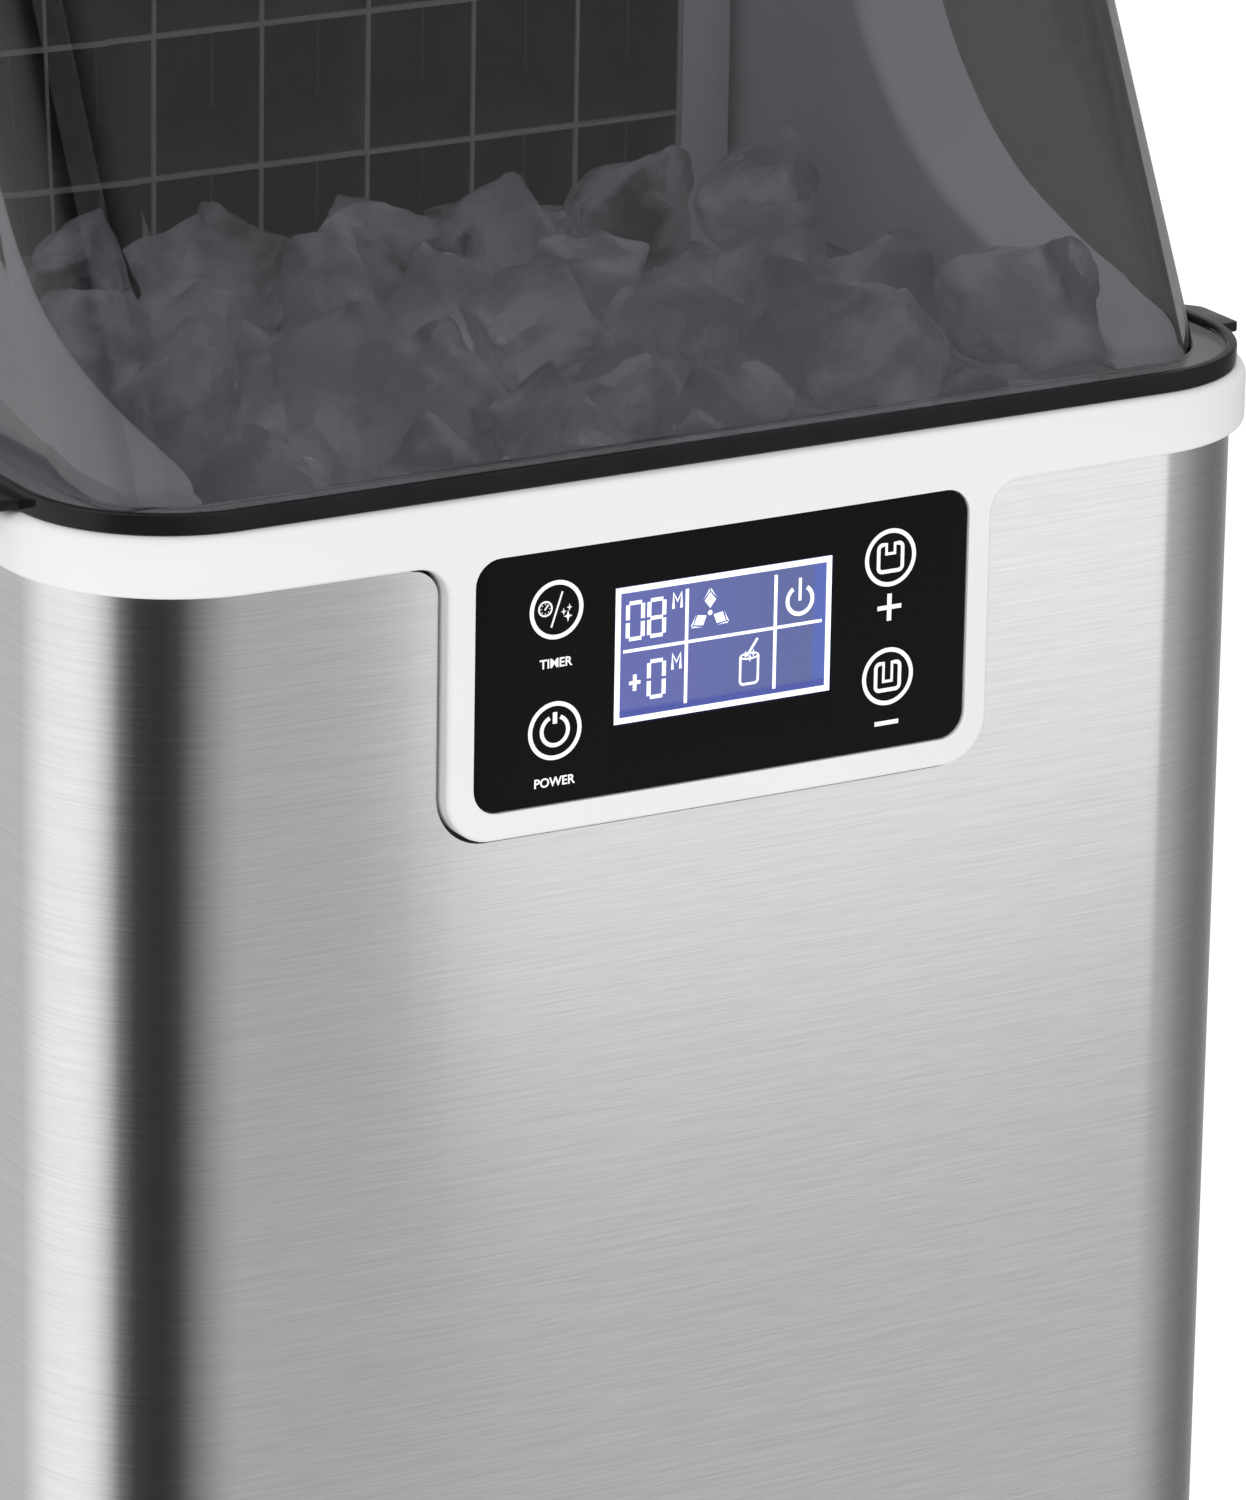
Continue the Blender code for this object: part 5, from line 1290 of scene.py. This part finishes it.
def settle(lumps):
    """Lets the lumps fall and come to rest inside the bin."""
    wall = 0.04
    inside = LID_WALL + 0.004
    floor = block((-0.3, -0.3, ICE_FLOOR - wall), (0.3, 0.3, ICE_FLOOR))
    left = block((-BIN_HALF_WIDTH - wall, -0.3, ICE_FLOOR), (-BIN_HALF_WIDTH, 0.3, 1.2))
    right = block((BIN_HALF_WIDTH, -0.3, ICE_FLOOR), (BIN_HALF_WIDTH + wall, 0.3, 1.2))
    front = block((-0.3, BIN_FRONT - wall, ICE_FLOOR), (0.3, BIN_FRONT, LID_FOOT))
    back = block((-0.3, BIN_REAR + 0.004, ICE_FLOOR), (0.3, BIN_REAR + wall, 1.2))
    lean = block((-0.3, -wall, 0), (0.3, 0, 0.7))
    lean.data.transform(Matrix.Translation((0, LID_FOOT_FRONT + inside, LID_FOOT)) @ Matrix.Rotation(-LID_LEAN, 4, "X"))
    walls = [floor, left, right, front, back, lean]
    scene = bpy.context.scene
    bpy.ops.rigidbody.world_add()
    world = scene.rigidbody_world
    world.substeps_per_frame = 10
    world.solver_iterations = 20
    last = 110
    world.point_cache.frame_end = last
    for objects, kind in ((walls, "PASSIVE"), (lumps, "ACTIVE")):
        for obj in objects:
            take(obj)
            bpy.ops.rigidbody.object_add(type=kind)
            body = obj.rigid_body
            body.collision_shape = "CONVEX_HULL"
            body.friction = 0.25
            body.restitution = 0.05
            body.use_margin = True
            body.collision_margin = 0.0002
            body.linear_damping = 0.2
            body.angular_damping = 0.3
    for number in range(1, last + 1):
        scene.frame_set(number)
    graph = bpy.context.evaluated_depsgraph_get()
    places = [lump.evaluated_get(graph).matrix_world.copy() for lump in lumps]
    bpy.ops.rigidbody.world_remove()
    scene.frame_set(1)
    for lump, place in zip(lumps, places):
        lump.matrix_world = place
    for obj in walls:
        bpy.data.objects.remove(obj)


def floor():
    deselect_all()
    bpy.ops.mesh.primitive_plane_add(size=60, location=(0, 0, 0))
    ground = settled()
    ground.name = "floor"
    ground.data.materials.append(pale_floor())
    ground.visible_glossy = False


# The studio round the machine, as the steel mirrors it: (degrees from the front towards the right, brightness)
STUDIO = (
    (-180, 0.40), (-160, 0.42), (-150, 0.60), (-123, 0.96), (-98, 1.00), (-84, 0.92), (-73, 0.62), (-63, 0.16), (-52, 0.045),
    (-34, 0.035), (-22, 0.06), (-12, 0.17), (-2, 0.28), (8, 0.38), (18, 0.44), (25, 0.46), (29, 0.45), (36, 0.46), (54, 0.44), (64, 0.35), (76, 0.25), (94, 0.18), (112, 0.20), (135, 0.36), (180, 0.40),
)

ROOM_LOW, ROOM_HIGH = 0.56, 0.74
# Bright cards half a metre before the right of the front, which only the steel mirrors: (left, right, watts)
CARDS = ((0.17, 0.62, 0.62), (0.24, 0.60, 0.62), (0.31, 0.58, 0.50))
CARD_LOW, CARD_HIGH = 0.285, 1.05


def studio():
    world = bpy.data.worlds.new("studio")
    bpy.context.scene.world = world
    world.use_nodes = True
    nodes = Nodes(world.node_tree)
    x, y, up = nodes.axes("Generated")
    turn = x.math("ARCTAN2", y * -1) / math.tau + 0.5
    stops = [((degrees / 360) + 0.5, level) for degrees, level in STUDIO]
    bands = nodes.node("ShaderNodeValToRGB", {"stops": stops}, {"Fac": turn})
    lifted = [(place, level if level < 0.1 else level * 1.3) for place, level in stops]
    brighter = nodes.node("ShaderNodeValToRGB", {"stops": lifted}, {"Fac": turn})
    path = nodes.node("ShaderNodeLightPath")
    soft = nodes.colour(up.between(-0.8, 0.8), (ROOM_LOW,) * 3, (ROOM_HIGH,) * 3)
    plain = nodes.colour(Value(nodes, path.outputs["Is Diffuse Ray"]), (1.0, 1.0, 1.0), soft)
    overhead = nodes.colour(up.between(0.25, 0.60), bands.outputs["Color"], brighter.outputs["Color"])
    seen = nodes.colour(Value(nodes, path.outputs["Is Glossy Ray"]), plain, overhead)
    background = world.node_tree.nodes["Background"]
    world.node_tree.links.new(seen, background.inputs["Color"])
    world.cycles.sampling_method = "NONE"


def lamp(name, place, target, size, watts, glossy=False, tall=None):
    data = bpy.data.lights.new(name, "AREA")
    data.shape = "RECTANGLE"
    data.size = size
    data.size_y = tall or size
    data.energy = watts
    made = bpy.data.objects.new(name, data)
    bpy.context.scene.collection.objects.link(made)
    made.location = place
    made.rotation_mode = "QUATERNION"
    made.rotation_quaternion = (Vector(target) - Vector(place)).to_track_quat("-Z", "Y")
    made.visible_glossy = glossy
    made.visible_diffuse = not glossy
    made.visible_camera = False
    return made


def lights_only(light, obj):
    """Keeps a lamp's light to one object."""
    lit = bpy.data.collections.new("lit_by_" + light.name)
    lit.objects.link(obj)
    light.light_linking.receiver_collection = lit


def camera():
    data = bpy.data.cameras.new("camera")
    data.lens = 229.5
    data.sensor_width = 36
    data.clip_end = 100
    made = bpy.data.objects.new("camera", data)
    bpy.context.scene.collection.objects.link(made)
    place, target = Vector((-1.2341, -2.2145, 1.3050)), Vector((-0.0281, -0.1860, 0.5421))
    roll = math.radians(0.974)
    made.location = place
    made.rotation_mode = "QUATERNION"
    made.rotation_quaternion = (target - place).to_track_quat("-Z", "Y") @ Quaternion((0, 0, 1), roll)
    bpy.context.scene.camera = made


def build():
    camera()
    studio()
    floor()
    lamp("key", (-1.6, -2.2, 2.8), (0, 0, 0.5), 1.8, 26)
    lamp("top", (0.3, 0.4, 2.6), (0, 0, 0.6), 1.6, 10)
    sheet = outer_wrap()
    for number, (left, right, watts) in enumerate(CARDS):
        middle, depth, height = (left + right) / 2, FRONT - 0.5, (CARD_LOW + CARD_HIGH) / 2
        card = lamp(f"card_{number}", (middle, depth, height), (middle, FRONT, height), right - left, watts,
                    glossy=True, tall=CARD_HIGH - CARD_LOW)
        lights_only(card, sheet)
    collar()
    panel_overlay()
    panel_print()
    display()
    lid_shell()
    lid_rim()
    side_cheeks()
    cell_seams()
    carried_over_parts()
    ice_heap()
    bpy.context.scene.view_settings.view_transform = "Standard"


build()
